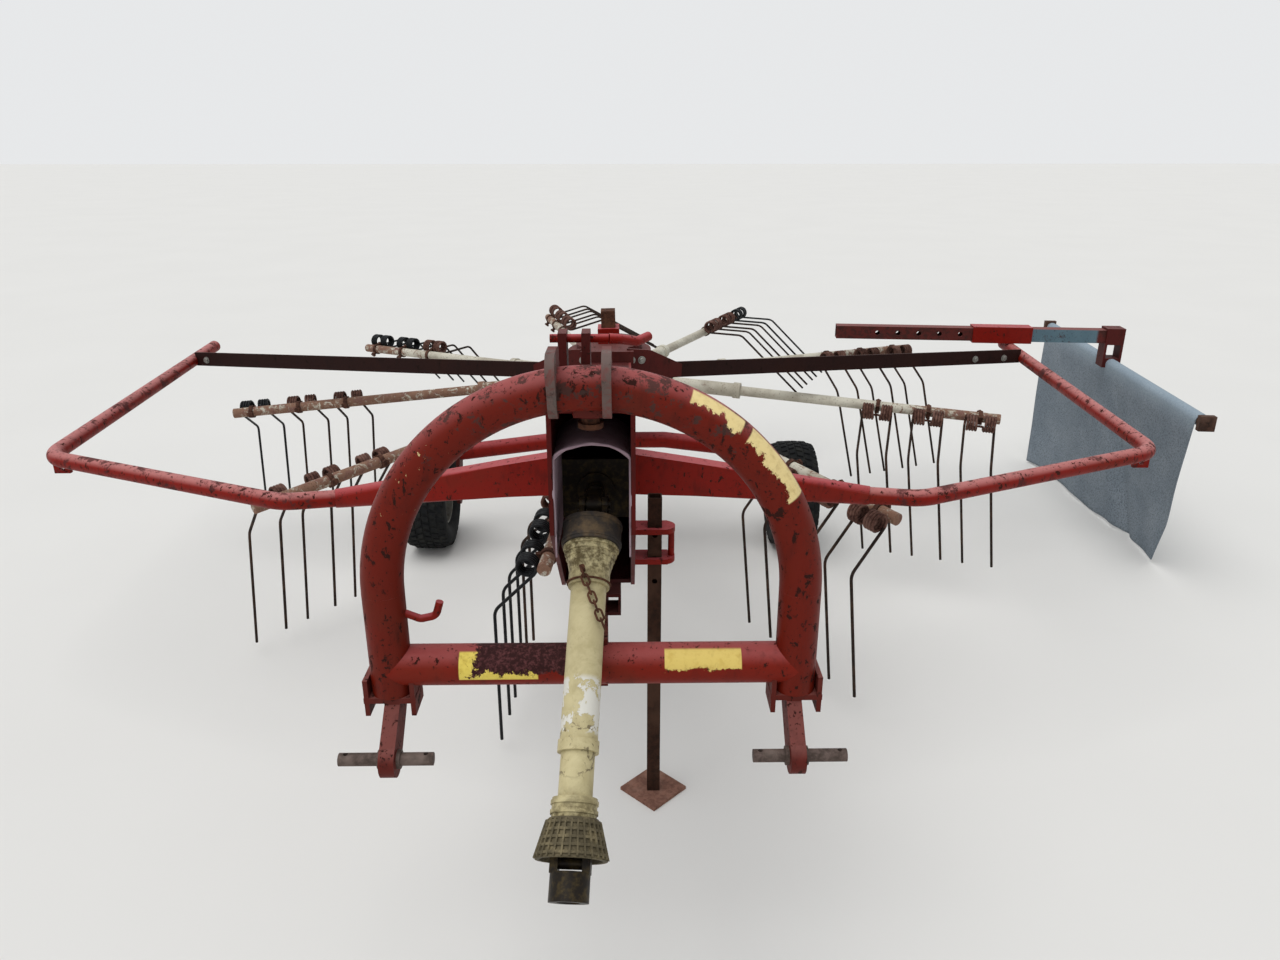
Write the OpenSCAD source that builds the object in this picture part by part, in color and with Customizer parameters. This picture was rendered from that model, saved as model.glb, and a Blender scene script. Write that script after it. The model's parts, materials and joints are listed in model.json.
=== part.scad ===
// Single rotor hay rake with a swivelling three-point headstock, in millimetres.
// Z is up, Y points to the rear and X to the right as seen from the tractor side.
// Pieces are laid out from the rotor's axis at ground level, then moved so that the
// origin is the middle of the footprint at ground level.

/* [Rotor] */
// Number of tine arms
arm_count = 9; // [7:1:10]
// Direction of the first arm, counted from +X
arm_phase = 24; // [0:1:40]
// Height of the rotor's centre
hub_z = 647; // [600:1:700]
// Forward lean of the rotor
rotor_tilt = 2.1; // [0:0.1:5]
// Sideways lean of the rotor, lower on the left where negative
rotor_roll = -1.3; // [-2:0.1:2]
// Downward slope of the arms
arm_droop = 3.1; // [0:0.1:4]
// Outer end of an arm, from the rotor's axis
arm_reach = 1354; // [1300:2:1400]
// Diameter of the outer arm tube
arm_d = 34; // [30:1:38]
// Diameter of the inner arm sleeve
sleeve_d = 48; // [44:1:52]
// Outer end of the arm sleeve, from the rotor's axis
sleeve_reach = 480; // [400:10:600]
// Radius of the rotor drum
drum_r = 185; // [165:5:195]
// Height of the rotor drum
drum_h = 104; // [90:2:110]
// Radius of the fixed column through the drum
column_r = 45; // [40:1:50]
// Radial running clearance of the drum on its column
drum_fit = 0.06; // [0.02:0.02:0.1]

/* [Tines] */
// Length of an arm beyond the middle of its outermost double tine
arm_end = 64; // [56:2:90]
// Spacing of the double tines along an arm
tine_pitch = 167; // [160:1:180]
// Double tines on an arm
tines_per_arm = 3; // [2:1:3]
// Diameter of the spring wire
wire_d = 9; // [8:0.5:10]
// Mean radius of a spring coil
coil_r = 24; // [22:1:26]
// Turns in one coil
coil_turns = 5; // [4:1:6]
// Gap between the two coils of a double tine
coil_gap = 14; // [12:1:18]
// Angle of the coils below the arm's trailing side
coil_seat = 8; // [0:2:40]
// Length of the sloping upper leg
upper_leg = 150; // [130:5:170]
// Slope of the upper leg below level
upper_slope = 45; // [35:1:55]
// Length of the upright lower leg
lower_leg = 355; // [300:5:360]
// Outward splay of the lower leg
lower_splay = 10; // [0:1:12]
// Highest lift of a tine by the cam
cam_lift = 58; // [40:2:60]
// Direction of the highest lift, counted from +X
cam_peak = 103; // [90:1:120]

/* [Headstock] */
// Diameter of the arch tube and of the cross tube
arch_d = 70; // [66:1:74]
// Half of the distance between the arch's legs, on centre
arch_half = 345; // [335:1:360]
// Distance of the arch in front of the rotor's axis
arch_y = 1950; // [1930:5:1980]
// Height of the crown's centre
crown_z = 1128; // [1110:2:1150]
// Height of the cross tube's centre
cross_z = 644; // [630:2:660]
// Height of the legs' lower ends
leg_z = 596; // [580:2:600]
// Distance of the swivel behind the arch
swivel_back = 70; // [66:1:74]
// Radius of the swivel pins
swivel_r = 15; // [12:1:18]
// Radial running clearance of the swivel pins
swivel_fit = 0.06; // [0.02:0.02:0.1]
// Half of the distance between the lower hitch arms
hitch_half = 341.5; // [335:0.5:350]
// Height of the lower hitch pins
hitch_z = 508; // [490:2:530]
// Distance of the lower hitch pins in front of the arch
hitch_front = 76; // [60:2:90]
// Diameter of the lower hitch pins
hitch_pin_d = 22; // [22:1:28]
// Length of the lower hitch pins
hitch_pin_l = 158; // [150:2:170]
// Sideways place of the top link lugs' middle
lug_x = -12; // [-40:1:0]
// Clear gap between the top link lugs
lug_gap = 68; // [60:1:80]
// Thickness of the top link lugs
lug_t = 14; // [12:1:16]
// Radius of the top link hole
lug_hole_r = 9.75; // [9.5:0.05:13]

/* [Boom] */
// Outer width of the boom
boom_w = 146; // [140:2:150]
// Thickness of the boom's plates
boom_t = 8; // [6:1:10]
// Distance of the boom's front edges in front of the rotor's axis
boom_front = 1878; // [1870:1:1882]
// Height of the boom's front edges, at the top
boom_front_top = 1078; // [1070:1:1082]
// Height of the boom's front edges, at the bottom
boom_front_low = 850; // [830:5:870]

/* [Guard] */
// Diameter of the guard rails
rail_d = 43; // [38:1:45]
// Seam of rail and tapered arm, from the middle
seam_x = 670; // [640:5:700]
// Front bend of the rail, from the middle
front_bend_x = 790; // [760:5:820]
// Outer corner of the rail, from the middle
corner_x = 1535; // [1520:5:1550]
// Rear end of the rail, from the middle
rail_end_x = 1575; // [1560:5:1590]
// Flange width of the angle braces
brace_w = 50; // [40:1:50]
// Thickness of the angle braces
brace_t = 6; // [5:0.5:8]

/* [Wheels] */
// Distance between the wheels, on centre
track = 1356; // [1330:2:1400]
// Diameter of the tyres
tyre_d = 400; // [390:2:410]
// Width of the tyres
tyre_w = 164; // [150:2:170]
// Diameter of the rim
rim_d = 208; // [200:2:216]
// Radius of the wheel spindles
spindle_r = 12.5; // [10:0.5:15]
// Radial running clearance of the wheels on their spindles
spindle_fit = 0.06; // [0.02:0.02:0.1]
// Distance of the wheels in front of the rotor's axis
wheel_front = 40; // [30:5:60]

/* [Stand] */
// Side of the square stand leg
stand_w = 30; // [26:1:34]
// Height of the stand leg's top
stand_top = 764; // [740:2:790]
// Sideways place of the stand
stand_x = 118; // [114:1:124]
// Distance of the stand in front of the rotor's axis
stand_front = 1480; // [1470:2:1500]
// Side of the foot plate
foot_w = 112; // [100:2:120]
// Thickness of the foot plate
foot_t = 8; // [6:1:10]
// Clearance of the stand leg in its guides, on each side
stand_fit = 0.5; // [0.3:0.1:1]

/* [Curtain] */
// Side of the square carrier tube
carrier_w = 50; // [46:1:54]
// Height of the carrier tube's centre
carrier_z = 737; // [734:1:744]
// Turn of the carrier away from square, seen from above
carrier_turn = 6; // [4:0.5:8]
// Clearance of the carrier in its sleeve, on each side
carrier_fit = 0.5; // [0.3:0.1:1]
// Length of the curtain bar
bar_l = 1560; // [1500:10:1600]
// Diameter of the curtain bar
bar_d = 34; // [30:1:38]
// Height of the curtain bar's centre
bar_z = 632; // [620:2:640]
// Length of the curtain along its lower edge
curtain_low_l = 1100; // [1000:10:1200]
// Thickness of the curtain
curtain_t = 6; // [5:1:8]
// Height of the curtain's lower edge above the ground
curtain_low_z = 16; // [14:1:30]

/* [Drive shaft] */
// Distance of the shaft's joint in front of the rotor's axis
joint_front = 1800; // [1795:1:1805]
// Height of the shaft's joint
joint_z = 875; // [870:1:885]
// Turn of the resting shaft to the left, seen from above
shaft_turn = 3.5; // [0:0.5:4]
// Radius of the outer guard tube
guard_tube_r = 30; // [28:1:31]
// Wall of the guard tubes
guard_tube_t = 3; // [2.5:0.5:4]
// Length from the joint to the shaft's tip
shaft_l = 645; // [630:5:660]
// Gap between the resting shaft and the cross tube
shaft_rest_gap = 10; // [9:1:14]
// Radius of the bore in the end yoke
yoke_bore_r = 17.5; // [17.4:0.1:17.6]

/* [Hidden] */
$fn = 48;
red = "#a5281f";
dark_red = "#4a1512";
cream = "#cfc8ae";
rust = "#5b3a2c";
black = "#1d1d1f";
blue_grey = "#8b9aa8";

swivel_y = -arch_y + swivel_back;
boom_half = boom_w / 2;
boom_in = boom_half - boom_t;
arm_r = arm_d / 2;
sleeve_r = sleeve_d / 2;
socket_reach = drum_r + 50;
tine_outer_r = arm_reach - arm_end;
wire_r = wire_d / 2;
coil_out = coil_r + wire_r;
coil_l = coil_turns * wire_d;
seat_gap = 1;
seat_r = arm_r + coil_out + seat_gap;
clamp_wall = 5;
rail_r = rail_d / 2;
arch_r = arch_d / 2;

// Renewed double tines on each arm, counted from its outer end
renewed_tines = [0, 1, 0, 2, 1, 0, 2, 0, 0];

// Directions of the arms, and the tines' lift that the cam gives at each
arm_dirs = [for (i = [0:arm_count - 1]) arm_phase + i * 360 / arm_count];
function cam_roll(dir) = cam_lift * max(0, cos(dir - cam_peak));

// Place along the carrier: X runs along it, from the sleeve's middle
sleeve_at = [1535, 300, carrier_z];
carrier_in = -640;
carrier_out = 452;
bar_at = carrier_out - 26;
bar_front = -830;
bar_end_half = 24;

// Slope of the resting drive shaft: its tube lies over the cross tube with the named gap
joint_drop = joint_z - cross_z;
joint_run = arch_y - joint_front;
shaft_slope = atan2(joint_drop, joint_run)
    - asin((arch_r + guard_tube_r + shaft_rest_gap) / norm([joint_drop, joint_run]));
joint_pos = [0, -joint_front, joint_z];
shaft_dir = [-sin(shaft_turn) * cos(shaft_slope), -cos(shaft_turn) * cos(shaft_slope), -sin(shaft_slope)];

// Footprint limits from the rotor's axis, and the middle between them
end_ring_r = 30;
tine_overhang = 121;
left_limit = -rail_end_x - rail_d / 2;
right_limit = sleeve_at.x + (bar_at + bar_end_half) * cos(carrier_turn)
    + (bar_front + bar_l) * sin(carrier_turn);
front_limit = -joint_front + shaft_l * shaft_dir.y - end_ring_r * sin(shaft_slope);
rear_limit = arm_reach + tine_overhang;
mid_x = (left_limit + right_limit) / 2;
mid_y = (front_limit + rear_limit) / 2;

function unit(v) = v / norm(v);
// Any direction square to v
function square_to(v) = unit(abs(v.z) < 0.9 * norm(v) ? cross([0, 0, 1], v) : cross([1, 0, 0], v));
// Matrix that takes X, Y and Z to the directions ax, ay and az at the point o
function frame_at(o, ax, ay, az) = [
    [ax.x, ay.x, az.x, o.x], [ax.y, ay.y, az.y, o.y], [ax.z, ay.z, az.z, o.z], [0, 0, 0, 1]];

// Children drawn from the rotor's axis at ground level
module from_axis() { translate([-mid_x, -mid_y, 0]) children(); }
// Children drawn from the rotor's centre, in its leaning plane
module on_rotor() { from_axis() translate([0, 0, hub_z]) rotate([rotor_tilt, rotor_roll, 0]) children(); }
// Children drawn along an arm: X outwards, Y to the leading side, turned by the cam
module on_arm(dir) { on_rotor() rotate([0, 0, dir]) rotate([0, arm_droop, 0]) children(); }
// Children drawn with Z running from a towards b
module along(a, b) {
    az = unit(b - a);
    ax = square_to(az);
    multmatrix(frame_at(a, ax, cross(az, ax), az)) children();
}
// Children drawn with Z along the resting drive shaft, from its joint
module on_shaft() { from_axis() along(joint_pos, joint_pos + shaft_dir) children(); }

// Faint rings that a bending former leaves where a bend starts and ends
seam_w = 2;
seam_h = 0.15;
// Round bar through a list of points, with the corners bent to a radius
module bent_bar(points, r, bend) {
    last = len(points) - 1;
    dirs = [for (i = [0:last - 1]) unit(points[i + 1] - points[i])];
    turns = [for (i = [1:last - 1]) acos(dirs[i - 1] * dirs[i])];
    cut = concat([0], [for (a = turns) bend * tan(a / 2)], [0]);
    for (i = [0:last - 1]) {
        a = points[i] + dirs[i] * cut[i];
        b = points[i + 1] - dirs[i] * cut[i + 1];
        if (norm(b - a) > 0.01) along(a, b) cylinder(r = r, h = norm(b - a));
        if (i > 0)
            along(a, points[i + 1]) translate([0, 0, -seam_w / 2]) cylinder(r = r + seam_h, h = seam_w);
        if (i < last - 1 && norm(b - a) > seam_w)
            along(b, points[i + 1]) translate([0, 0, -seam_w / 2]) cylinder(r = r + seam_h, h = seam_w);
    }
    for (i = [1:last - 1]) {
        start = points[i] - dirs[i - 1] * cut[i];
        inward = unit(dirs[i] - dirs[i - 1] * (dirs[i] * dirs[i - 1]));
        multmatrix(frame_at(start + inward * bend, -inward, dirs[i - 1], cross(-inward, dirs[i - 1])))
            rotate_extrude(angle = turns[i - 1]) translate([bend, 0]) circle(r = r);
    }
}

// Plate in the YZ plane, centred on x, from a profile in (y, z)
module side_plate(x, t) {
    multmatrix(frame_at([x - t / 2, 0, 0], [0, 1, 0], [0, 0, 1], [1, 0, 0]))
        linear_extrude(t) children();
}

// Outline of the boom in (y, z), from its front top corner round
boom_outline = [[-boom_front, boom_front_top], [-boom_front, boom_front_low], [-1650, 640],
    [-1260, 628], [-232, 700], [-232, 795], [-700, 840]];
boom_hollow = [[-boom_front - 20, boom_front_top - boom_t], [-boom_front - 20, 600],
    [-1642, 600], [-1642, 648], [-1262, 636], [-300, 706], [-300, 788], [-703, 832]];
// Outline in (y, z) of the gearbox's neck to the boom's rear end
gear_neck = [[-232, 706], [-232, 788], [-102, 788], [-102, 706]];
tongue_r = 30;
tongue_t = 12;

module boom() {
    color(red) from_axis() difference() {
        union() {
            difference() {
                side_plate(0, boom_w) polygon(boom_outline);
                side_plate(0, boom_w - 2 * boom_t) polygon(boom_hollow);
            }
            translate([0, swivel_y, boom_front_top - tongue_t]) cylinder(r = tongue_r, h = tongue_t);
            translate([-tongue_r, swivel_y, boom_front_top - tongue_t]) cube([2 * tongue_r, 24, tongue_t]);
        }
        translate([0, swivel_y, boom_front_top - 40]) cylinder(r = swivel_r + swivel_fit, h = 60);
    }
}

strut_w = 40;
strut_low = 600;
strut_h = 39;
strut_front = -1840;
strut_rear = -1500;
bushing_r = 24;
bushing_h = 64;
neck_gap = 6;
// Square catch for the shaft's chain on the strut
catch = [32, 50, 44];
catch_t = 5;

module lower_strut() {
    color(dark_red) from_axis() {
        difference() {
            union() {
                translate([0, swivel_y, cross_z - bushing_h / 2]) cylinder(r = bushing_r, h = bushing_h);
                translate([-strut_w / 2, swivel_y, cross_z - bushing_h / 2 + neck_gap])
                    cube([strut_w, 60, bushing_h - 2 * neck_gap]);
                translate([-strut_w / 2, strut_front, strut_low])
                    cube([strut_w, strut_rear - strut_front, strut_h]);
            }
            translate([0, swivel_y, strut_low - 10])
                cylinder(r = swivel_r + swivel_fit, h = bushing_h + 40);
            side_plate(0, boom_w) polygon(boom_outline);
        }
        translate([strut_w / 2 - 6, strut_front + 65, strut_low + strut_h]) difference() {
            cube(catch);
            translate([catch_t, -1, catch_t + 1]) cube(catch - [2 * catch_t, -2, 2 * catch_t + 2]);
        }
    }
}

hood_low = 806;
hood_side_top = 985;
hood_t = 3;
hood_rear = -1700;
hood_l = 172;
hood_slant = -38;
module hood_arch(half, low, top) {
    translate([-half, low]) square([2 * half, top - low]);
    translate([0, top]) intersection() {
        translate([0, -half * 0.9]) circle(r = half * 1.345);
        translate([-half, 0]) square([2 * half, half]);
    }
}
module shaft_hood() {
    color("#8a6d6c") from_axis() difference() {
        translate([0, hood_rear, 0]) rotate([90, 0, 0]) linear_extrude(hood_l) difference() {
            hood_arch(boom_in, hood_low, hood_side_top);
            hood_arch(boom_in - hood_t, hood_low - 1, hood_side_top - 1);
        }
        translate([-100, hood_rear - 200, hood_low - 60]) rotate([hood_slant, 0, 0]) cube([200, 200, 60]);
    }
}

gearbox_base = drum_h / 2 + 8;
gear_plate_r = 150;
gear_plate_h = 42;
gear_top_r = 118;
gear_top_h = 30;
module gearbox() {
    top = gear_plate_h + gear_top_h;
    color(dark_red) difference() {
        union() {
            on_rotor() translate([0, 0, gearbox_base]) cylinder(r = gear_plate_r, h = gear_plate_h);
            on_rotor() translate([0, 0, gearbox_base + gear_plate_h])
                cylinder(r = gear_top_r, h = gear_top_h);
            from_axis() side_plate(0, 2 * boom_in) polygon(gear_neck);
        }
        on_rotor() translate([0, 0, gearbox_base - drum_h]) cylinder(r = drum_r, h = drum_h);
        on_rotor() translate([0, 0, gearbox_base - 1]) cylinder(r = column_r, h = top);
        on_rotor() translate([-post_w / 2, -post_w / 2, post_from]) cube([post_w, post_w, top]);
    }
}

// Drive shaft inside the boom, with its bearings and the knuckle and pin of its front joint
shaft_r = 18;
knuckle_pin_r = 9;
knuckle_pin_fit = 0.06;
knuckle_half = 13;
input_rear = [0, -300, 747];
input_start = input_rear - [0, 12, 0];
knuckle_l = 60;
bearing_y = -1700;
module input_shaft() {
    bearing_z = joint_z
        + (input_start.z - joint_z) * (joint_front + bearing_y) / (joint_front + input_start.y);
    color("#3a3430") from_axis() {
        along(input_start, joint_pos)
            cylinder(r = shaft_r, h = norm(joint_pos - input_start) - knuckle_l + 5);
        translate(input_rear) rotate([90, 0, 0]) cylinder(r = 32, h = 24);
        translate([-boom_in, bearing_y, bearing_z - 58]) cube([2 * boom_in, 12, 116]);
        translate([0, bearing_y + 1, bearing_z]) rotate([90, 0, 0]) cylinder(r = 34, h = 11);
        along(joint_pos, input_start) translate([-knuckle_half, -14, 0])
            cube([2 * knuckle_half, 28, knuckle_l]);
        translate(joint_pos) rotate([0, 90, 0]) cylinder(r = 15, h = 2 * knuckle_half - 1, center = true);
        translate(joint_pos) rotate([0, 90, 0]) cylinder(r = knuckle_pin_r, h = 58, center = true);
    }
}

beam_r = 30;
beam_z = 398;
beam_block = [124, 92, 60];
post_w = 76;
post_top = 833;
post_from = gearbox_base + gear_plate_h + gear_top_h - 22;
bar_w = 50;
bar_l_up = 478;
bar_pin_r = 7;
bar_pin_down = 30;
column_low = beam_z - 25 - hub_z;
bar_low = column_low + 42;
module column() {
    color(red) {
        on_rotor() difference() {
            translate([0, 0, column_low]) cylinder(r = column_r, h = post_from - column_low);
            translate([-bar_w / 2, -bar_w / 2, column_low - 1])
                cube([bar_w, bar_w, post_from + 2 - column_low]);
        }
        on_rotor() difference() {
            translate([-post_w / 2, -post_w / 2, post_from])
                cube([post_w, post_w, post_top - hub_z - post_from]);
            translate([-bar_w / 2, -bar_w / 2, post_from - 1])
                cube([bar_w, bar_w, post_top - hub_z - post_from + 2]);
        }
    }
}

module height_bar() {
    color(rust) on_rotor() translate([0, 0, bar_low]) difference() {
        translate([-bar_w / 2, -bar_w / 2, 0]) cube([bar_w, bar_w, bar_l_up]);
        translate([0, 0, bar_l_up - bar_pin_down]) rotate([0, 90, 0])
            cylinder(r = bar_pin_r, h = 2 * bar_w, center = true);
    }
}

// Ends of the right brace's lower front edge, inner then outer
bracket_y = -470;
bracket_t = 10;
// Block that ties the two wings over the boom
tie = [boom_w + 16, 36, 40];
tie_front = 44;
tie_rise = 56;
brace_in = [110, bracket_y, 760];
brace_out = [1552, 130, 662];
brace_dir = unit(brace_out - brace_in);
brace_up = unit([0, 0, 1] - brace_dir * brace_dir.z);
brace_back = cross(brace_up, brace_dir);
// Children drawn from the right brace's inner end: X to the rear, Y up, Z outwards
module on_brace() { multmatrix(frame_at(brace_in, brace_back, brace_up, brace_dir)) children(); }
module brace_shape() {
    difference() {
        on_brace() linear_extrude(norm(brace_out - brace_in)) {
            square([brace_t, brace_w]);
            square([brace_w, brace_t]);
        }
        rail_bar();
    }
}
// Outline of the wing plate in front of a brace, tapered outwards
wing = [[-60, 4], [-60, 98], [18, 92], [130, 44], [130, 4]];
module bracket_wing() {
    on_brace() rotate([0, -90, 0]) linear_extrude(bracket_t) polygon(wing);
}
module brace_bracket() {
    color(dark_red) from_axis() difference() {
        union() {
            for (m = [0, 1]) mirror([m, 0, 0]) bracket_wing();
            translate([-tie.x / 2, bracket_y - tie_front, brace_in.z + tie_rise]) cube(tie);
        }
        side_plate(0, boom_w) polygon(boom_outline);
    }
}
module brace_right() { color(dark_red) from_axis() brace_shape(); }
module brace_left() { color(dark_red) from_axis() mirror([1, 0, 0]) brace_shape(); }

seam = [seam_x, -1153, 632];
front_bend = [front_bend_x, -1191, 638];
corner = [corner_x, -876, 648];
rail_end = [rail_end_x, 356, 686];
root_y = -1286;
root_low = 700;
root_h = 98;
root_t = 46;
module guard_arm_shape() {
    difference() {
        guard_arm_blank();
        along(seam, front_bend) cylinder(r = 2 * rail_r, h = 2 * rail_r);
    }
}
// Section where the guard arm turns from its root's slope to its long taper
waist = [150, 22, -14];
waist_h = 80;
module guard_arm_waist() {
    translate([boom_half + waist.x, root_y + waist.y - root_t / 2, root_low + waist.z])
        cube([4, root_t, waist_h]);
}
module guard_arm_blank() {
    hull() {
        translate([boom_half, root_y - root_t / 2, root_low]) cube([4, root_t, root_h]);
        guard_arm_waist();
    }
    hull() {
        guard_arm_waist();
        along(seam, seam + [-10, 0, 0]) cylinder(r = rail_r + 2, h = 10, $fn = 32);
    }
}
module guard_arm_right() { color(red) from_axis() guard_arm_shape(); }
module guard_arm_left() { color(red) from_axis() mirror([1, 0, 0]) guard_arm_shape(); }

rail_bend = 90;
// Tab under the rail's outer corner, with its eye
tab = [44, 12, 50];
tab_eye_r = 7;
tab_drop = 52;
module rail_bar() { bent_bar([seam, front_bend, corner, rail_end], rail_r, rail_bend); }
module rail_shape() {
    difference() {
        union() {
            rail_bar();
            translate(corner + [2 - tab.x, tab.y + 2, -tab_drop]) cube(tab);
        }
        translate(corner + [2 - tab.x / 2, 0, 16 - tab_drop]) rotate([-90, 0, 0])
            cylinder(r = tab_eye_r, h = 4 * tab.y);
    }
}
module rail_right() { color(red) from_axis() rail_shape(); }
module rail_left() { color(red) from_axis() mirror([1, 0, 0]) rail_shape(); }

latch_x = [-45, -7];
latch_y = -1826;
latch_rise = 100;
latch_bar_z = boom_front_top + latch_rise;
latch_over = 12;
latch_root = [12, 32];
module latch_bracket() {
    color(dark_red) from_axis() difference() {
        for (x = latch_x) side_plate(x, 14) polygon([
            [latch_y - 20, boom_front_top - latch_root[0]], [latch_y - 20, latch_bar_z + latch_over],
            [latch_y + 20, latch_bar_z + latch_over], [latch_y + 45, boom_front_top - latch_root[1]]]);
        side_plate(0, 200) polygon(boom_outline);
        translate([-80, latch_y, latch_bar_z]) rotate([0, 90, 0]) cylinder(r = 7, h = 120);
    }
}
module latch_lever() {
    color(red) from_axis() {
        translate([-66, latch_y, latch_bar_z]) rotate([0, 90, 0]) cylinder(r = 7, h = 96);
        bent_bar([[30, latch_y, latch_bar_z], [46, latch_y + 4, latch_bar_z - 2],
            [76, latch_y + 30, latch_bar_z - 12], [96, latch_y + 62, latch_bar_z - 10]], 8, 16);
    }
}

guide_z = [614, 684];
guide_t = 12;
guide_reach = 44;
module stand_guide() {
    color(red) from_axis() {
        difference() {
            union() {
                for (z = guide_z) translate([boom_half, -stand_front - 26, z])
                    cube([stand_x + guide_reach - boom_half - 16, 52, guide_t]);
                for (z = guide_z) translate([stand_x + guide_reach - 26, -stand_front, z])
                    cylinder(r = 26, h = guide_t);
            }
            translate([stand_x, -stand_front, guide_z[0]]) cube([stand_w + 2 * stand_fit,
                stand_w + 2 * stand_fit, 4 * (guide_z[1] - guide_z[0])], center = true);
        }
        translate([stand_x + guide_reach - 8, -stand_front, guide_z[0] + guide_t])
            cylinder(r = 7, h = guide_z[1] - guide_z[0] - guide_t);
    }
}

beam_y = 16;
beam_bend_x = 200;
leg_t = 14;
leg_gap = 16;
beam_end_x = track / 2 - tyre_w / 2 - leg_gap - leg_t;
beam_end_z = 350;
module axle_beam() {
    color(red) from_axis() difference() {
        union() {
            bent_bar([[-beam_end_x - 20, beam_y, beam_end_z], [-beam_bend_x, beam_y, beam_z],
                [beam_bend_x, beam_y, beam_z], [beam_end_x + 20, beam_y, beam_end_z]], beam_r, 120);
            translate([-beam_block.x / 2, beam_y - beam_block.y / 2, beam_z + 16 - beam_block.z])
                cube(beam_block);
        }
        for (s = [-1, 1]) translate([s * (beam_end_x + 50), beam_y, beam_end_z]) cube(100, center = true);
        translate([mid_x, mid_y, 0]) on_rotor() translate([0, 0, column_low])
            cylinder(r = column_r, h = 100);
        translate([mid_x, mid_y, 0]) on_rotor() translate([-bar_w / 2, -bar_w / 2, bar_low])
            cube([bar_w, bar_w, 100]);
    }
}

leg_x = beam_end_x + leg_t / 2;
leg_out = beam_end_x + leg_t;
hub_half = 42;
axle_y = -wheel_front;
axle_z = tyre_d / 2;
module wheel_leg_shape() {
    side_plate(leg_x, leg_t) union() {
        polygon([[beam_y - 34, beam_end_z + 34], [beam_y + 34, beam_end_z + 34],
            [beam_y + 34, beam_end_z - 20], [axle_y + 30, axle_z], [axle_y - 30, axle_z],
            [beam_y - 44, beam_end_z - 20]]);
        translate([axle_y, axle_z]) circle(r = 32);
    }
    translate([leg_out, axle_y, axle_z]) rotate([0, 90, 0])
        cylinder(r = spindle_r + 8, h = track / 2 - hub_half - 1 - leg_out);
    translate([leg_out, axle_y, axle_z]) rotate([0, 90, 0])
        cylinder(r = spindle_r, h = track / 2 + hub_half + 2 - leg_out);
    translate([track / 2 + hub_half + 1, axle_y, axle_z]) rotate([0, 90, 0])
        cylinder(r = spindle_r + 8, h = 8);
}
module wheel_leg_right() { color(dark_red) from_axis() wheel_leg_shape(); }
module wheel_leg_left() { color(dark_red) from_axis() mirror([1, 0, 0]) wheel_leg_shape(); }

sleeve_l = 225;
sleeve_wall = 6;
module on_carrier() { from_axis() translate(sleeve_at) rotate([0, 0, -carrier_turn]) children(); }
carrier_half = carrier_w / 2;
module curtain_sleeve() {
    side = carrier_w + 2 * (carrier_fit + sleeve_wall);
    color(red) difference() {
        on_carrier() difference() {
            translate([-sleeve_l / 2, -side / 2, -side / 2]) cube([sleeve_l, side, side]);
            translate([-sleeve_l, -carrier_half - carrier_fit, -carrier_half - carrier_fit])
                cube([2 * sleeve_l, carrier_w + 2 * carrier_fit, carrier_w + 2 * carrier_fit]);
        }
        from_axis() rail_bar();
    }
}

module arch_shape() {
    bent_bar([[-arch_half, -arch_y, leg_z], [-arch_half, -arch_y, crown_z],
        [arch_half, -arch_y, crown_z], [arch_half, -arch_y, leg_z]], arch_r, arch_half);
}
module arch() { color(red) from_axis() arch_shape(); }

module cross_tube() {
    color(red) from_axis() difference() {
        translate([-arch_half, -arch_y, cross_z]) rotate([0, 90, 0]) cylinder(r = arch_r, h = 2 * arch_half);
        for (s = [-1, 1]) translate([s * arch_half, -arch_y, leg_z - 50]) cylinder(r = arch_r, h = 300);
    }
}

// Top link hole from the crown's centre: forwards and up
lug_hole = [-arch_y - 42, crown_z + 38];
lug_eye_r = 26;
module top_link_lugs() {
    color("#7c4a44") from_axis() difference() {
        for (s = [-1, 1]) side_plate(lug_x + s * (lug_gap + lug_t) / 2, lug_t) {
            translate([-arch_y, crown_z]) circle(r = arch_r + 12);
            translate(lug_hole) circle(r = lug_eye_r);
            polygon([[-arch_y - 47, crown_z], [lug_hole.x - lug_eye_r, lug_hole.y],
                [lug_hole.x, lug_hole.y + lug_eye_r], [-arch_y + 10, crown_z + 62],
                [-arch_y + 38, crown_z + 56], [-arch_y + 46, crown_z + 8]]);
        }
        arch_shape();
        translate([-arch_half, lug_hole.x, lug_hole.y]) rotate([0, 90, 0])
            cylinder(r = lug_hole_r, h = 2 * arch_half);
        translate([-arch_half, -arch_y, crown_z - 100]) cube([2 * arch_half, 100, 78]);
    }
}

ear_t = 12;
ear_gap = 2;
ear_r = bushing_r;
top_ear_z = boom_front_top + ear_gap;
low_ears_z = [cross_z - bushing_h / 2 - ear_gap - ear_t, cross_z + bushing_h / 2 + ear_gap];
module swivel_ears() {
    color(red) from_axis() {
        difference() {
            union() {
                translate([0, swivel_y, top_ear_z]) cylinder(r = ear_r, h = ear_t);
                translate([-ear_r, -arch_y, top_ear_z]) cube([2 * ear_r, swivel_back, ear_t + 14]);
            }
            translate([0, swivel_y, top_ear_z - 1]) cylinder(r = swivel_r, h = ear_t + 2);
            translate([0, swivel_y, top_ear_z + ear_t]) cylinder(r = ear_r + 1, h = 40);
            arch_shape();
        }
        for (z = low_ears_z) difference() {
            union() {
                translate([0, swivel_y, z]) cylinder(r = ear_r, h = ear_t);
                translate([-ear_r, -arch_y, z]) cube([2 * ear_r, swivel_back, ear_t]);
            }
            translate([0, swivel_y, z - 1]) cylinder(r = swivel_r, h = ear_t + 2);
            translate([-60, -arch_y, cross_z]) rotate([0, 90, 0]) cylinder(r = arch_r, h = 120);
            translate([-60, -arch_y - 60, z - 1]) cube([120, 60, ear_t + 2]);
        }
    }
}

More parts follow.
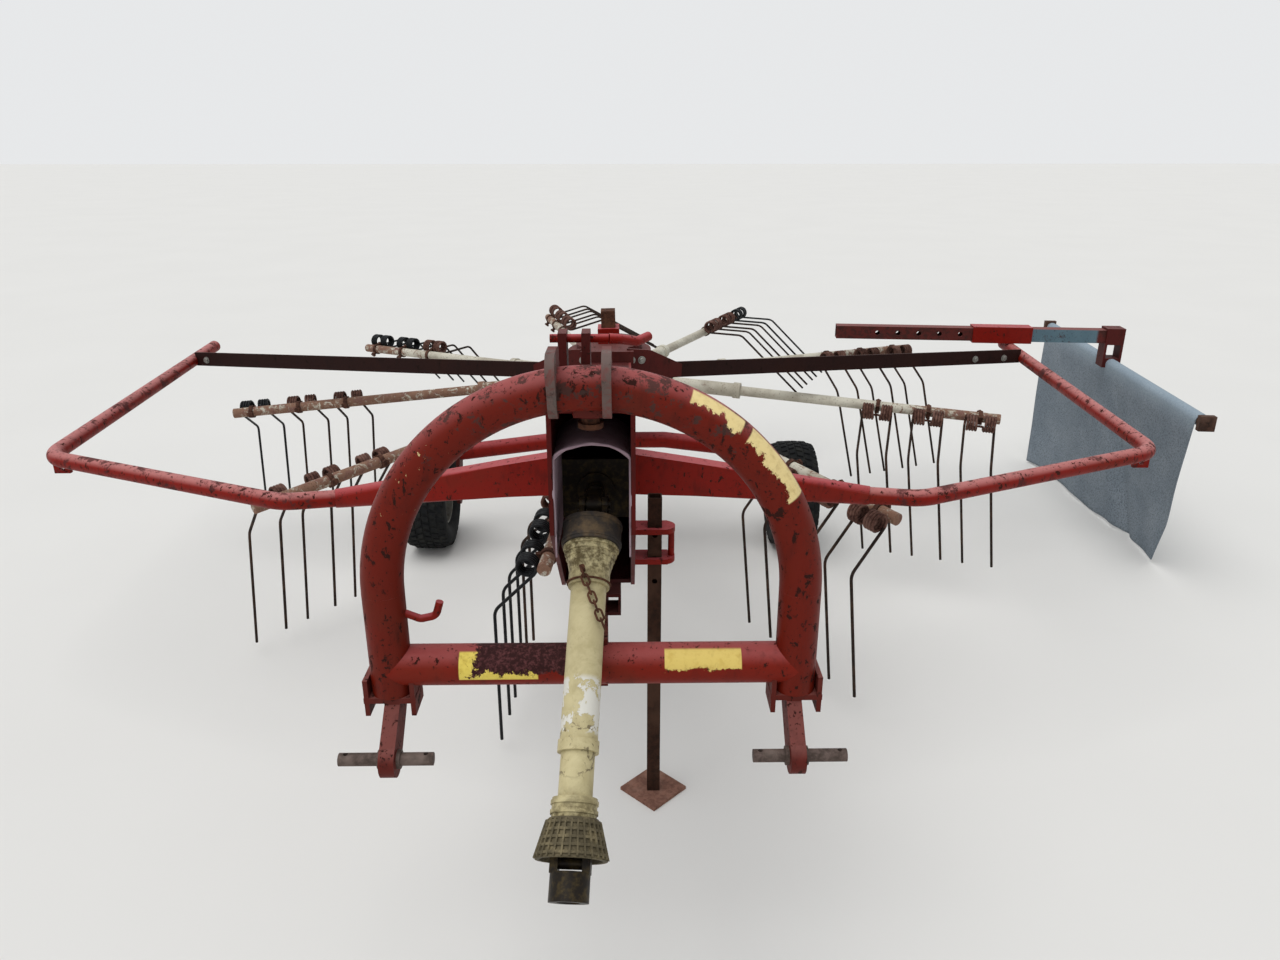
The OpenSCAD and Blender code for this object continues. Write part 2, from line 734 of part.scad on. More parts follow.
pin_head_r = 21;
pin_head_h = 9;
module swivel_pins() {
    top_low = boom_front_top - tongue_t - 22;
    low_top = low_ears_z[1] + ear_t;
    color(rust) from_axis() translate([0, swivel_y, 0]) {
        translate([0, 0, top_low]) cylinder(r = swivel_r, h = top_ear_z + ear_t + pin_head_h - top_low);
        translate([0, 0, top_ear_z + ear_t]) cylinder(r = pin_head_r, h = pin_head_h);
        translate([0, 0, top_low]) cylinder(r = pin_head_r, h = pin_head_h);
        translate([0, 0, low_ears_z[0] - 12])
            cylinder(r = swivel_r, h = low_top + pin_head_h + 12 - low_ears_z[0]);
        translate([0, 0, low_top]) cylinder(r = pin_head_r, h = pin_head_h);
    }
}

hitch_y = -arch_y - hitch_front;
hitch_arm_t = 26;
eye_r = 30;
module hitch_arms() {
    color(red) from_axis() for (s = [-1, 1]) difference() {
        union() {
            side_plate(s * hitch_half, hitch_arm_t) {
                translate([hitch_y, hitch_z]) circle(r = eye_r);
                polygon([[hitch_y - 25, hitch_z + 16], [-arch_y - 30, leg_z - 12],
                    [-arch_y - 30, leg_z], [-arch_y + 30, leg_z], [-arch_y + 30, leg_z - 26],
                    [hitch_y + 26, hitch_z - 15]]);
            }
            translate([s * arch_half - 44, -arch_y - 30, leg_z - 10]) cube([88, 60, 10]);
            for (u = [-1, 1]) side_plate(s * arch_half + u * 39, 8)
                polygon([[-arch_y - 30, leg_z - 34], [-arch_y + 30, leg_z - 34],
                    [-arch_y + 30, leg_z + 34], [-arch_y - 30, leg_z + 34]]);
        }
        translate([s * arch_half, -arch_y, leg_z]) cylinder(r = arch_r, h = 60);
        translate([-arch_half, -arch_y, cross_z]) rotate([0, 90, 0]) cylinder(r = arch_r, h = 2 * arch_half);
        translate([s * hitch_half - 60, hitch_y, hitch_z]) rotate([0, 90, 0])
            cylinder(r = hitch_pin_d / 2, h = 120);
    }
}

collar_r = hitch_pin_d / 2 + 5;
collar_l = 6;
linch_r = 4;
linch_in = 12;
module hitch_pins() {
    color(rust) from_axis() for (s = [-1, 1]) {
        translate([s * (hitch_half + 6), hitch_y, hitch_z]) difference() {
            translate([-hitch_pin_l / 2, 0, 0]) rotate([0, 90, 0])
                cylinder(r = hitch_pin_d / 2, h = hitch_pin_l);
            for (u = [-1, 1]) translate([u * (hitch_pin_l / 2 - linch_in), 0, -hitch_pin_d])
                cylinder(r = linch_r, h = 2 * hitch_pin_d);
        }
        for (u = [-1, 1]) translate([s * hitch_half + u * (hitch_arm_t + collar_l) / 2, hitch_y, hitch_z])
            rotate([0, 90, 0]) cylinder(r = collar_r, h = collar_l, center = true);
    }
}

module hose_hook() {
    color(red) from_axis() difference() {
        bent_bar([[-arch_half + 30, -arch_y, 744], [-arch_half + 58, -arch_y, 732],
            [-arch_half + 84, -arch_y, 738], [-arch_half + 92, -arch_y, 764]], 6.5, 14);
        translate([-arch_half, -arch_y, 700]) cylinder(r = arch_r, h = 80);
    }
}

bearing_cap_r = 92;
bearing_cap_h = 26;
socket_from = 115;
socket_r = sleeve_r + 9;
module drum() {
    color(rust) on_rotor() difference() {
        union() {
            translate([0, 0, -drum_h / 2]) cylinder(r = drum_r, h = drum_h);
            translate([0, 0, -drum_h / 2 - bearing_cap_h]) cylinder(r = bearing_cap_r, h = bearing_cap_h + 1);
            for (d = arm_dirs) rotate([0, 0, d]) rotate([0, 90 + arm_droop, 0])
                translate([0, 0, socket_from]) cylinder(r = socket_r, h = socket_reach - socket_from);
        }
        translate([0, 0, -drum_h]) cylinder(r = column_r + drum_fit, h = 2 * drum_h);
    }
}

module arm_sleeves() {
    color(cream) for (d = arm_dirs) on_arm(d) {
        translate([socket_reach, 0, 0]) rotate([0, 90, 0])
            cylinder(r = sleeve_r, h = sleeve_reach - socket_reach);
        translate([sleeve_reach - 24, 0, 0]) rotate([0, 90, 0]) cylinder(r = sleeve_r + 4, h = 24);
    }
}

module arm_tubes() {
    color(cream) for (d = arm_dirs) on_arm(d) translate([sleeve_reach, 0, 0]) rotate([0, 90, 0])
        cylinder(r = arm_r, h = arm_reach - sleeve_reach);
}

// Children drawn at each double tine of an arm: X along the arm, -Y trailing at rest
module at_tines(dir, places) {
    on_arm(dir) for (i = places) translate([tine_outer_r - i * tine_pitch, 0, 0])
        rotate([-cam_roll(dir), 0, 0]) children();
}
coil_centre = [0, -seat_r * cos(coil_seat), -seat_r * sin(coil_seat)];

// Section of a close-wound coil: flat inside, one chamfered ridge for each turn
groove = 2.2;
coil_section = concat([[coil_r - wire_r, coil_l], [coil_r - wire_r, 0]],
    [for (i = [0:coil_turns - 1])
        for (p = [[-groove, 0], [0, groove], [0, wire_d - groove], [-groove, wire_d]])
            if (p.x == 0 || p.y == 0 || i == coil_turns - 1) [coil_out + p.x, i * wire_d + p.y]]);
module coil() {
    rotate([0, 90, 0]) rotate_extrude() polygon(coil_section);
}

leg_bend = 40;
leg_slim = 0.2;
spool_over = 4;
module tine_leg(x) {
    slope_dir = [0, -cos(upper_slope), -sin(upper_slope)];
    start = coil_centre + [x, coil_r * sin(upper_slope), -coil_r * cos(upper_slope)];
    knee = start + upper_leg * slope_dir;
    lower = lower_leg * [sin(lower_splay), 0, -cos(lower_splay)];
    bent_bar([start, knee, knee + lower], wire_r - leg_slim, leg_bend);
}

module double_tine() {
    for (s = [-1, 1]) {
        translate(coil_centre + [s > 0 ? coil_gap / 2 : -coil_gap / 2 - coil_l, 0, 0]) coil();
        tine_leg(s * (coil_gap / 2 + coil_l - wire_r));
    }
    translate(coil_centre + [-coil_gap / 2 - spool_over, 0, 0]) rotate([0, 90, 0])
        cylinder(r = coil_r - wire_r + 1, h = coil_gap + 2 * spool_over);
}

// Whether the double tine at a place of an arm has been renewed
function is_renewed(arm, place) = place < renewed_tines[arm % len(renewed_tines)];
module tines_where(renewed) {
    for (a = [0:arm_count - 1]) for (i = [0:tines_per_arm - 1])
        if (is_renewed(a, i) == renewed) at_tines(arm_dirs[a], [i]) double_tine();
}
module tines_worn() { color(rust) tines_where(false); }
module tines_renewed() { color(black) tines_where(true); }

module tine_clamps() {
    w = coil_gap - 1;
    color(rust) for (d = arm_dirs) at_tines(d, [0:tines_per_arm - 1]) difference() {
        rotate([coil_seat, 0, 0]) union() {
            translate([-w / 2, 0, 0]) rotate([0, 90, 0]) cylinder(r = arm_r + clamp_wall, h = w);
            translate([-w / 2, -seat_r, -13]) cube([w, seat_r, 26]);
            translate([0, arm_r + clamp_wall - 2, 0]) rotate([-90, 0, 0]) cylinder(r = 7, h = 16);
        }
        translate([-w, 0, 0]) rotate([0, 90, 0]) cylinder(r = arm_r, h = 2 * w);
        translate(coil_centre + [-w, 0, 0]) rotate([0, 90, 0]) cylinder(r = coil_r - wire_r + 1, h = 2 * w);
    }
}

// Tyre section in (radius, width), round at the shoulders
module tyre() {
    half = tyre_w / 2;
    rim_r = rim_d / 2;
    rotate_extrude($fn = 96) difference() {
        union() {
            translate([rim_r, -half + 22]) square([tyre_d / 2 - rim_r - 3, tyre_w - 44]);
            translate([rim_r + 30, -half]) square([tyre_d / 2 - rim_r - 58, tyre_w]);
            for (s = [-1, 1]) translate([tyre_d / 2 - 30, s * (half - 30)]) circle(r = 30);
            for (s = [-1, 1]) translate([rim_r + 30, s * (half - 30)]) circle(r = 30);
            translate([tyre_d / 2 - 30, -half + 30]) square([30, tyre_w - 60]);
        }
        translate([0, -half - 1]) square([rim_r, tyre_w + 2]);
    }
}
hub_r = spindle_r + 18;
module rim() {
    half = tyre_w / 2 - 24;
    rim_r = rim_d / 2;
    difference() {
        rotate_extrude($fn = 96) {
            translate([rim_r - 5, -half]) square([5, 2 * half]);
            for (s = [-1, 1]) translate([rim_r - 6, s * half - 3]) square([6, 6]);
            translate([hub_r, -3]) square([rim_r - hub_r - 4, 6]);
            translate([spindle_r + spindle_fit, -hub_half])
                square([hub_r - spindle_r - spindle_fit, 2 * hub_half]);
        }
        for (a = [0:90:270]) rotate([0, 0, a]) translate([rim_r - 40, 0, -10]) cylinder(r = 11, h = 20);
    }
}
module on_wheel(s) {
    from_axis() translate([s * track / 2, axle_y, axle_z]) rotate([0, s * 90, 0]) children();
}
module tyre_left() { color(black) on_wheel(-1) tyre(); }
module tyre_right() { color(black) on_wheel(1) tyre(); }
module rim_left() { color("#8f8f8c") on_wheel(-1) rim(); }
module rim_right() { color("#8f8f8c") on_wheel(1) rim(); }

module stand_leg() {
    wall = 3;
    color(rust) from_axis() translate([stand_x, -stand_front, foot_t]) difference() {
        translate([-stand_w / 2, -stand_w / 2, 0]) cube([stand_w, stand_w, stand_top - foot_t]);
        translate([wall - stand_w / 2, wall - stand_w / 2, -1])
            cube([stand_w - 2 * wall, stand_w - 2 * wall, stand_top]);
        for (z = [560:55:stand_top - 40]) translate([0, 30, z]) rotate([90, 0, 0]) cylinder(r = 6, h = 60);
    }
}

module stand_foot() {
    color(rust) from_axis() translate([stand_x, -stand_front, 0]) rotate([0, 0, 45]) difference() {
        translate([-foot_w / 2, -foot_w / 2, 0]) cube([foot_w, foot_w, foot_t]);
        translate([foot_w / 2 - 16, foot_w / 2 - 16, -1]) cylinder(r = 6, h = foot_t + 2);
    }
}

module carrier() {
    color(red) on_carrier() difference() {
        translate([carrier_in, -carrier_half, -carrier_half])
            cube([carrier_out - carrier_in, carrier_w, carrier_w]);
        translate([carrier_in - 1, -carrier_half + 4, -carrier_half + 4])
            cube([carrier_out - carrier_in + 2, carrier_w - 8, carrier_w - 8]);
        for (x = [carrier_in + 160:80:-160]) translate([x, 0, 0]) rotate([90, 0, 0])
            cylinder(r = 9, h = 2 * carrier_w, center = true);
    }
}

bar_drop = bar_z - carrier_z;
bracket_low = bar_drop - bar_d / 2 + 3;
module curtain_bracket() {
    color(black) on_carrier() difference() {
        translate([bar_at - 34, -carrier_half - 8, bracket_low])
            cube([68, carrier_w + 16, carrier_half + 8 - bracket_low]);
        translate([carrier_in, -carrier_half, -carrier_half])
            cube([carrier_out - carrier_in, carrier_w, carrier_w]);
        translate([bar_at, 100, bar_drop]) rotate([90, 0, 0]) cylinder(r = bar_d / 2, h = 200);
        translate([bar_at - 26, -100, bar_drop + bar_d / 2 + 5])
            cube([52, 200, -bar_drop - bar_d / 2 - carrier_half - 10]);
    }
}

bar_end_t = 22;
module curtain_bar() {
    color(blue_grey) on_carrier() {
        translate([bar_at, bar_front + bar_l, bar_drop]) rotate([90, 0, 0])
            cylinder(r = bar_d / 2, h = bar_l);
        for (y = [bar_front, bar_front + bar_l - bar_end_t])
            translate([bar_at - bar_end_half, y, bar_drop - bar_end_half]) difference() {
                cube([2 * bar_end_half, bar_end_t, 2 * bar_end_half]);
                translate([bar_end_half, bar_end_t + 1, bar_end_half]) rotate([90, 0, 0])
                    cylinder(r = bar_d / 2 - 1, h = bar_end_t + 2);
            }
    }
}

curtain_top_l = bar_l - 80;
curtain_sway = 26;
curtain_steps = 12;
// Plan of the hanging curtain: a gentle wave along the bar, straight at the bar's middle
function wave(t) = curtain_sway * sin(t * 540);
curtain_line = [for (i = [0:curtain_steps]) let (t = i / curtain_steps)
    [wave(t) * (t > 0 && t < 1 ? 1 : 0), bar_front + 40 + t * curtain_top_l]];
module curtain() {
    low = curtain_low_z - carrier_z;
    top = bar_drop - bar_d / 2;
    shift = 90;
    color(blue_grey) on_carrier() translate([bar_at, 0, 0]) intersection() {
        translate([0, 0, low]) linear_extrude(top - low) polygon(concat(
            [for (p = curtain_line) p - [curtain_t / 2, 0]],
            [for (i = [curtain_steps:-1:0]) curtain_line[i] + [curtain_t / 2, 0]]));
        side_plate(0, 200) polygon([[bar_front + 40, top], [bar_front + 40 + curtain_top_l, top],
            [bar_front + 40 + curtain_top_l - shift, low],
            [bar_front + 40 + curtain_top_l - shift - curtain_low_l, low]]);
    }
}

bell_r = 51;
bell_from = 38;
bell_to = 84;
cone_to = 132;
outer_to = 432;
inner_from = 262;
collar_from = 500;
flare_from = 530;
flare_to = 588;
tube_fit = 0.4;
spin_fit = 0.1;
end_from = 490;
yoke_disc_at = 562;
yoke_disc_r = 26;
yoke_disc_t = 12;
yoke_ear_at = 572;
yoke_ear = [12, 30, 34];
yoke_ear_x = 24;
yoke_pin_at = 592;
yoke_pin_r = 8;
yoke_pin_l = 56;
end_ring_from = 604;
yoke_bore_from = 610;

module shaft_joint() {
    color("#3a3430") difference() {
        on_shaft() union() {
            translate([0, 0, 34]) cylinder(r = shaft_r, h = cone_to - 34);
            for (s = [-1, 1]) translate([s * 20 - 5, -14, 0]) cube([10, 28, 40]);
            for (s = [-1, 1]) translate([s * 20 - 5, 0, 0]) rotate([0, 90, 0]) cylinder(r = 16, h = 10);
            translate([-25, -14, 26]) cube([50, 28, 12]);
        }
        from_axis() translate(joint_pos) rotate([0, 90, 0])
            cylinder(r = knuckle_pin_r + knuckle_pin_fit, h = 80, center = true);
    }
}

module shaft_bell() {
    color(black) on_shaft() rotate_extrude() {
        translate([bell_r - 4, bell_from]) square([4, bell_to - bell_from]);
        translate([bell_r - 1, bell_from + 4]) square([2.5, 5]);
        translate([bell_r - 1, bell_to - 10]) square([2.5, 5]);
        translate([guard_tube_r + 2, bell_to - 4]) square([bell_r - guard_tube_r - 4, 4]);
    }
}

module shaft_cone() {
    ribs = 5;
    color(cream) on_shaft() difference() {
        union() {
            translate([0, 0, bell_to])
                cylinder(r1 = bell_r - 5, r2 = guard_tube_r + 5, h = cone_to - bell_to);
            for (i = [0:ribs - 1]) translate([0, 0, bell_to + 3 + i * 9])
                cylinder(r = bell_r - 3 - i * 3, h = 4);
            translate([0, 0, cone_to]) cylinder(r = guard_tube_r + 5, h = 26);
        }
        translate([0, 0, bell_to - 1]) cylinder(r = 18, h = 60);
        translate([0, 0, cone_to]) cylinder(r = guard_tube_r, h = 60);
    }
}

module outer_tube() {
    color(cream) on_shaft() difference() {
        union() {
            translate([0, 0, cone_to]) cylinder(r = guard_tube_r, h = outer_to - cone_to);
            translate([0, 0, outer_to - 18]) cylinder(r = guard_tube_r + 2.5, h = 18);
        }
        translate([0, 0, cone_to + 40]) cylinder(r = guard_tube_r - guard_tube_t, h = shaft_l);
    }
}

module inner_tube() {
    inner_r = guard_tube_r - guard_tube_t - tube_fit;
    color(cream) on_shaft() difference() {
        union() {
            translate([0, 0, inner_from]) cylinder(r = inner_r, h = collar_from - inner_from);
            translate([0, 0, collar_from]) cylinder(r = inner_r + 8, h = flare_from - collar_from);
            for (z = [collar_from + 4, collar_from + 18]) translate([0, 0, z])
                cylinder(r = inner_r + 10, h = 6);
        }
        translate([0, 0, inner_from - 1]) cylinder(r = shaft_r + spin_fit, h = shaft_l);
    }
}

module end_cone() {
    color(black) on_shaft() difference() {
        union() {
            translate([0, 0, flare_from]) cylinder(r1 = 38, r2 = 54, h = flare_to - flare_from);
            for (i = [0:4]) translate([0, 0, flare_from + 5 + i * 11]) cylinder(r = 43 + i * 3, h = 4);
        }
        translate([0, 0, flare_from - 1]) cylinder(r = shaft_r + spin_fit, h = shaft_l);
        translate([0, 0, flare_from + 10]) cylinder(r1 = 33, r2 = 50, h = flare_to - flare_from);
    }
}

module end_yoke() {
    color("#2b2724") on_shaft() difference() {
        union() {
            translate([0, 0, end_from]) cylinder(r = shaft_r, h = yoke_ear_at - end_from);
            translate([0, 0, yoke_disc_at]) cylinder(r = yoke_disc_r, h = yoke_disc_t);
            for (s = [-1, 1]) translate([s * yoke_ear_x - yoke_ear.x / 2, -yoke_ear.y / 2, yoke_ear_at])
                cube(yoke_ear);
            translate([0, 0, end_ring_from]) cylinder(r = end_ring_r, h = shaft_l - end_ring_from);
            translate([0, 0, yoke_pin_at]) rotate([0, 90, 0])
                cylinder(r = yoke_pin_r, h = yoke_pin_l, center = true);
        }
        translate([0, 0, yoke_bore_from]) cylinder(r = yoke_bore_r, h = shaft_l);
    }
}

link_in = 5.5;
link_wire = 1.9;
link_l = 9;
module chain_link() {
    for (s = [-1, 1]) {
        translate([s * link_in, 0, -link_l / 2]) cylinder(r = link_wire, h = link_l, $fn = 16);
        translate([0, 0, s * link_l / 2]) rotate([s * 90, 0, 0])
            rotate_extrude(angle = 180) translate([link_in, 0]) circle(r = link_wire, $fn = 16);
    }
}
chain_links = 7;
module shaft_chain() {
    a = [-8, 45, 146];
    b = [30, 31, 232];
    step = (b - a) / (chain_links - 1);
    color(rust) on_shaft() {
        for (i = [0:chain_links - 1]) along(a + step * i, a + step * (i + 1))
            rotate([0, 0, i % 2 * 90]) chain_link();
        difference() {
            translate(a - [0, 20, 6]) rotate([-90, 0, 0]) cylinder(r = 4.5, h = 26);
            translate([0, 0, cone_to]) cylinder(r = guard_tube_r + 5, h = 26);
        }
    }
}

boom();
lower_strut();
shaft_hood();
gearbox();
input_shaft();
column();
height_bar();
brace_bracket();
brace_left();
brace_right();
guard_arm_left();
guard_arm_right();
rail_left();
rail_right();
latch_bracket();
latch_lever();
stand_guide();
axle_beam();
wheel_leg_left();
wheel_leg_right();
curtain_sleeve();
arch();
cross_tube();
top_link_lugs();
swivel_ears();
swivel_pins();
hitch_arms();
hitch_pins();
hose_hook();
drum();
arm_sleeves();
arm_tubes();
tine_clamps();
tines_worn();
tines_renewed();
tyre_left();
rim_left();
tyre_right();
rim_right();
stand_leg();
stand_foot();
carrier();
curtain_bracket();
curtain_bar();
curtain();
shaft_joint();
shaft_bell();
shaft_cone();
outer_tube();
shaft_chain();
inner_tube();
end_cone();
end_yoke();
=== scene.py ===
import json
import math
import random

import bmesh
import bpy
from mathutils import Matrix, Vector


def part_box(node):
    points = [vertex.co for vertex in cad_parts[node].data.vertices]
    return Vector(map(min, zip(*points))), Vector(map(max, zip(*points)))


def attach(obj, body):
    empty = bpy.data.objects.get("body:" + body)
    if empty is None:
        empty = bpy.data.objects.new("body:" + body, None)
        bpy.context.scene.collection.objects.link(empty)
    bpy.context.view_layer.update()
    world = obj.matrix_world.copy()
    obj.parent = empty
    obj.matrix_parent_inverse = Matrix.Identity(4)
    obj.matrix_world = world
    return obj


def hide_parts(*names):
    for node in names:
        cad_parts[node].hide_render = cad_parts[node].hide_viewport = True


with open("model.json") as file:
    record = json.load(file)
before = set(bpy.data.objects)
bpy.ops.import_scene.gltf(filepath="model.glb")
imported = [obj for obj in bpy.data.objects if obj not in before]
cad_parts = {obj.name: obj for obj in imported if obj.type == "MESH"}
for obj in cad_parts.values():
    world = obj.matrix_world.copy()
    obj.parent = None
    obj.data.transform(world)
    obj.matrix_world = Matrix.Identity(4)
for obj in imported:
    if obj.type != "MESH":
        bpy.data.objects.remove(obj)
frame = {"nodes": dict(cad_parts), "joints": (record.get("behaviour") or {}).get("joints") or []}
for start_up in ("Cube", "Light", "Camera"):
    if start_up in bpy.data.objects:
        bpy.data.objects.remove(bpy.data.objects[start_up])
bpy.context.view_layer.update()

# Places that the frame gives, in metres
MM = 0.001
NODES = frame["nodes"]
JOINTS = {j["name"]: j for j in frame["joints"]}
ROTOR_AT = Vector(JOINTS["rotor_spin"]["pos_m"])
ROTOR_AXIS = Vector(JOINTS["rotor_spin"]["axis"])
SHAFT_AT = Vector(JOINTS["shaft_hinge"]["pos_m"])
SHAFT_DIR = Vector(JOINTS["shaft_telescope"]["axis"]).normalized()
CARRIER_DIR = Vector(JOINTS["curtain_slide"]["axis"]).normalized()
ORIGIN = Vector((ROTOR_AT.x, ROTOR_AT.y, 0))


def at(x, y, z):
    """A point given in millimetres from the rotor's axis at ground level, in the frame's metres."""
    return ORIGIN + Vector((x, y, z)) * MM


def facing(point, direction):
    """Matrix in millimetres at a point as for at(), with Z along direction."""
    turn = Vector(direction).to_track_quat("Z", "Y").to_matrix().to_4x4()
    return Matrix.Translation(at(*point)) @ turn @ Matrix.Scale(MM, 4)


def srgb(code):
    """Linear colour from a hex code."""
    parts = [int(code[i:i + 2], 16) / 255 for i in (1, 3, 5)]
    return tuple(c / 12.92 if c <= 0.04045 else ((c + 0.055) / 1.055) ** 2.4 for c in parts) + (1.0,)


# Materials
SPECULAR = 0.13
# First of the two mixed sockets and the output of a Mix node, by its data type
MIX_SOCKETS = {"RGBA": (6, 2), "FLOAT": (2, 0)}


class Graph:
    """A node material under construction, with positions in millimetres from the rotor's axis."""

    def __init__(self, name):
        self.material = bpy.data.materials.new(name)
        self.material.use_nodes = True
        self.tree = self.material.node_tree
        self.tree.nodes.clear()
        surface = self.tree.nodes.new("ShaderNodeOutputMaterial").inputs["Surface"]
        self.bsdf = self.tree.nodes.new("ShaderNodeBsdfPrincipled")
        self.tree.links.new(self.bsdf.outputs[0], surface)
        coords = self.tree.nodes.new("ShaderNodeTexCoord").outputs["Object"]
        moved = self.vector("SUBTRACT", coords, tuple(ORIGIN))
        self.pos = self.vector("MULTIPLY", moved, (1 / MM,) * 3)
        self.x, self.y, self.z = self.split(self.pos)

    def put(self, socket, value):
        """Links value to a socket where it is another node's, and sets the socket to it otherwise."""
        if isinstance(value, bpy.types.NodeSocket):
            self.tree.links.new(value, socket)
        else:
            socket.default_value = value

    def node(self, kind, values, output=0, **settings):
        """A new node whose first sockets take the values; returns one of its outputs."""
        made = self.tree.nodes.new(kind)
        for key, value in settings.items():
            setattr(made, key, value)
        for i, value in enumerate(values):
            self.put(made.inputs[i], value)
        return made.outputs[output]

    def split(self, vector):
        made = self.tree.nodes.new("ShaderNodeSeparateXYZ")
        self.tree.links.new(vector, made.inputs[0])
        return made.outputs

    def vector(self, operation, a, b=(0, 0, 0), output="Vector"):
        return self.node("ShaderNodeVectorMath", (a, b), output, operation=operation)

    def math(self, operation, a, b=0.0):
        return self.node("ShaderNodeMath", (a, b), operation=operation)

    def plus(self, a, b):
        return self.math("ADD", a, b)

    def minus(self, a, b):
        return self.math("SUBTRACT", a, b)

    def times(self, *factors):
        """Product, which is also the mask that lies in all of the masks given."""
        result = factors[0]
        for factor in factors[1:]:
            result = self.math("MULTIPLY", result, factor)
        return result

    def most(self, *values):
        """Greatest value, which is also the mask that lies in any of the masks given."""
        result = values[0]
        for value in values[1:]:
            result = self.math("MAXIMUM", result, value)
        return result

    def noise(self, size, detail=4.0, rough=0.55, warp=0.0, stretch=(1, 1, 1), shift=0.0):
        """Noise with features of about size millimetres, drawn out by stretch.

        shift picks another part of it; detail, rough and warp are the node's own settings.
        """
        scaled = self.vector("MULTIPLY", self.pos, tuple(1 / (size * s) for s in stretch))
        made = self.tree.nodes.new("ShaderNodeTexNoise")
        self.put(made.inputs["Vector"], self.vector("ADD", scaled, (shift,) * 3))
        for key, value in (("Scale", 1.0), ("Detail", detail), ("Roughness", rough), ("Distortion", warp)):
            made.inputs[key].default_value = value
        return made.outputs["Fac"]

    def wander(self, reach, noise):
        """Noise about zero, by which an edge wanders; reach is what its full swing would be."""
        return self.times(self.minus(noise, 0.5), reach)

    def band(self, value, low, high):
        """0 at low, 1 at high and smooth between, also where high is the lesser of them."""
        return self.node("ShaderNodeMapRange", (value, low, high), interpolation_type="SMOOTHSTEP")

    def window(self, value, low, high, soft):
        """1 between low and high, 0 outside, blended over soft on each side of both."""
        return self.times(self.band(value, low - soft, low + soft),
                          self.band(value, high + soft, high - soft))

    def mixed(self, kind, factor, a, b):
        made = self.tree.nodes.new("ShaderNodeMix")
        made.data_type = kind
        first, output = MIX_SOCKETS[kind]
        self.put(made.inputs["Factor"], factor)
        self.put(made.inputs[first], a)
        self.put(made.inputs[first + 1], b)
        return made.outputs[output]

    def mix(self, factor, a, b):
        """Colour a where factor is 0, colour b where it is 1."""
        return self.mixed("RGBA", factor, a, b)

    def lerp(self, factor, a, b):
        """Number a where factor is 0, number b where it is 1."""
        return self.mixed("FLOAT", factor, a, b)

    def upward(self, low, high):
        """1 where the surface faces up, 0 where it is upright or faces down."""
        normal = self.tree.nodes.new("ShaderNodeNewGeometry").outputs["Normal"]
        return self.band(self.split(normal)["Z"], low, high)

    def finish(self, colour, rough, height=None, depth=0.2, metal=0.0):
        """Sets the shader; height is bumped to depth millimetres."""
        self.put(self.bsdf.inputs["Base Color"], colour)
        self.put(self.bsdf.inputs["Roughness"], rough)
        self.put(self.bsdf.inputs["Metallic"], metal)
        self.bsdf.inputs["Specular IOR Level"].default_value = SPECULAR
        if height is not None:
            bump = self.tree.nodes.new("ShaderNodeBump")
            bump.inputs["Strength"].default_value = 1.0
            bump.inputs["Distance"].default_value = depth * MM
            self.put(bump.inputs["Height"], height)
            self.tree.links.new(bump.outputs[0], self.bsdf.inputs["Normal"])
        return self.material


def worn_paint(name, paint, faded, chip, rust, chips=0.5, fade=0.5, rough=0.45, extra=None, top=None):
    """Old paint: faded in large clouds, streaked, and chipped down to dark and rusty tones.

    chips and fade say how much there is of each. top is the tone of a painted highlight on what faces up,
    and extra is a function that adds marks of its own to the colour, roughness and height.
    """
    g = Graph(name)
    clouds = g.band(g.noise(190, 3, 0.6), 0.62 - fade * 0.24, 0.78 - fade * 0.14)
    streaks = g.noise(30, 5, 0.65, 0.2, stretch=(1, 1, 2.4), shift=7)
    colour = g.mix(g.times(clouds, 0.75), srgb(paint), srgb(faded))
    if top:
        # Painted highlight: surfaces that face up are lightened towards the top tone.
        painted_top_highlight = g.times(g.upward(0.25, 1.0), g.lerp(streaks, 0.4, 0.9))
        colour = g.mix(painted_top_highlight, colour, srgb(top))
    colour = g.mix(g.times(g.band(streaks, 0.5, 0.75), 0.45), colour, srgb(chip))
    chip_edge = 0.72 - chips * 0.16
    speck_edge = 0.675 - chips * 0.03
    chipped = g.band(g.noise(38, 8, 0.74, 0.15, shift=3), chip_edge, chip_edge + 0.02)
    nicks = g.noise(15, 6, 0.7, 0.3, stretch=(1, 1, 1.8), shift=37)
    nicked = g.band(nicks, chip_edge - 0.01, chip_edge + 0.02)
    specked = g.band(g.noise(5.5, 4, 0.6, shift=11), speck_edge, speck_edge + 0.025)
    worn = g.most(chipped, nicked, specked)
    rusted = g.mix(g.noise(9, 5, 0.7, shift=5), srgb(rust), srgb(chip))
    colour = g.mix(worn, colour, rusted)
    height = g.minus(g.times(g.noise(7, 4, 0.6, shift=2), 0.35), worn)
    roughness = g.lerp(worn, g.lerp(clouds, rough, rough + 0.15), 0.85)
    if extra:
        colour, roughness, height = extra(g, colour, roughness, height)
    return g.finish(colour, roughness, height, depth=0.35)


def sticker(g, skin, mask, tone, dark, torn, size, shift):
    """A blank sticker inside mask, over a skin of colour, roughness and height.

    It is torn away where noise of that size and shift is below torn.
    """
    colour, roughness, height = skin
    left = g.band(g.noise(size, 8, 0.75, 1.2, shift=shift), torn - 0.012, torn + 0.012)
    held = g.times(mask, left)
    # Grime darkens the sticker in patches.
    darkening = g.band(g.noise(15, 5, 0.7, shift=shift + 4), 0.45, 0.72)
    tone = g.mix(g.times(darkening, 0.4), srgb(tone), srgb(dark))
    return g.mix(held, colour, tone), g.lerp(held, roughness, 0.42), g.plus(height, g.times(held, 0.6))


# The arch's crown, the bend about its middle and its front, in millimetres
CROWN_Z = 1128
ARCH_R = 345
ARCH_Z = CROWN_Z - ARCH_R
ARCH_Y = -1950
# Its stickers: first and last angle round the bend, inner edge beyond the tube's centre line, the
# noise below which they are torn away, and the noise's shift
ARCH_STICKERS = ((50.5, 65, 21, 0.33, 40), (28, 48, 13, 0.36, 48))


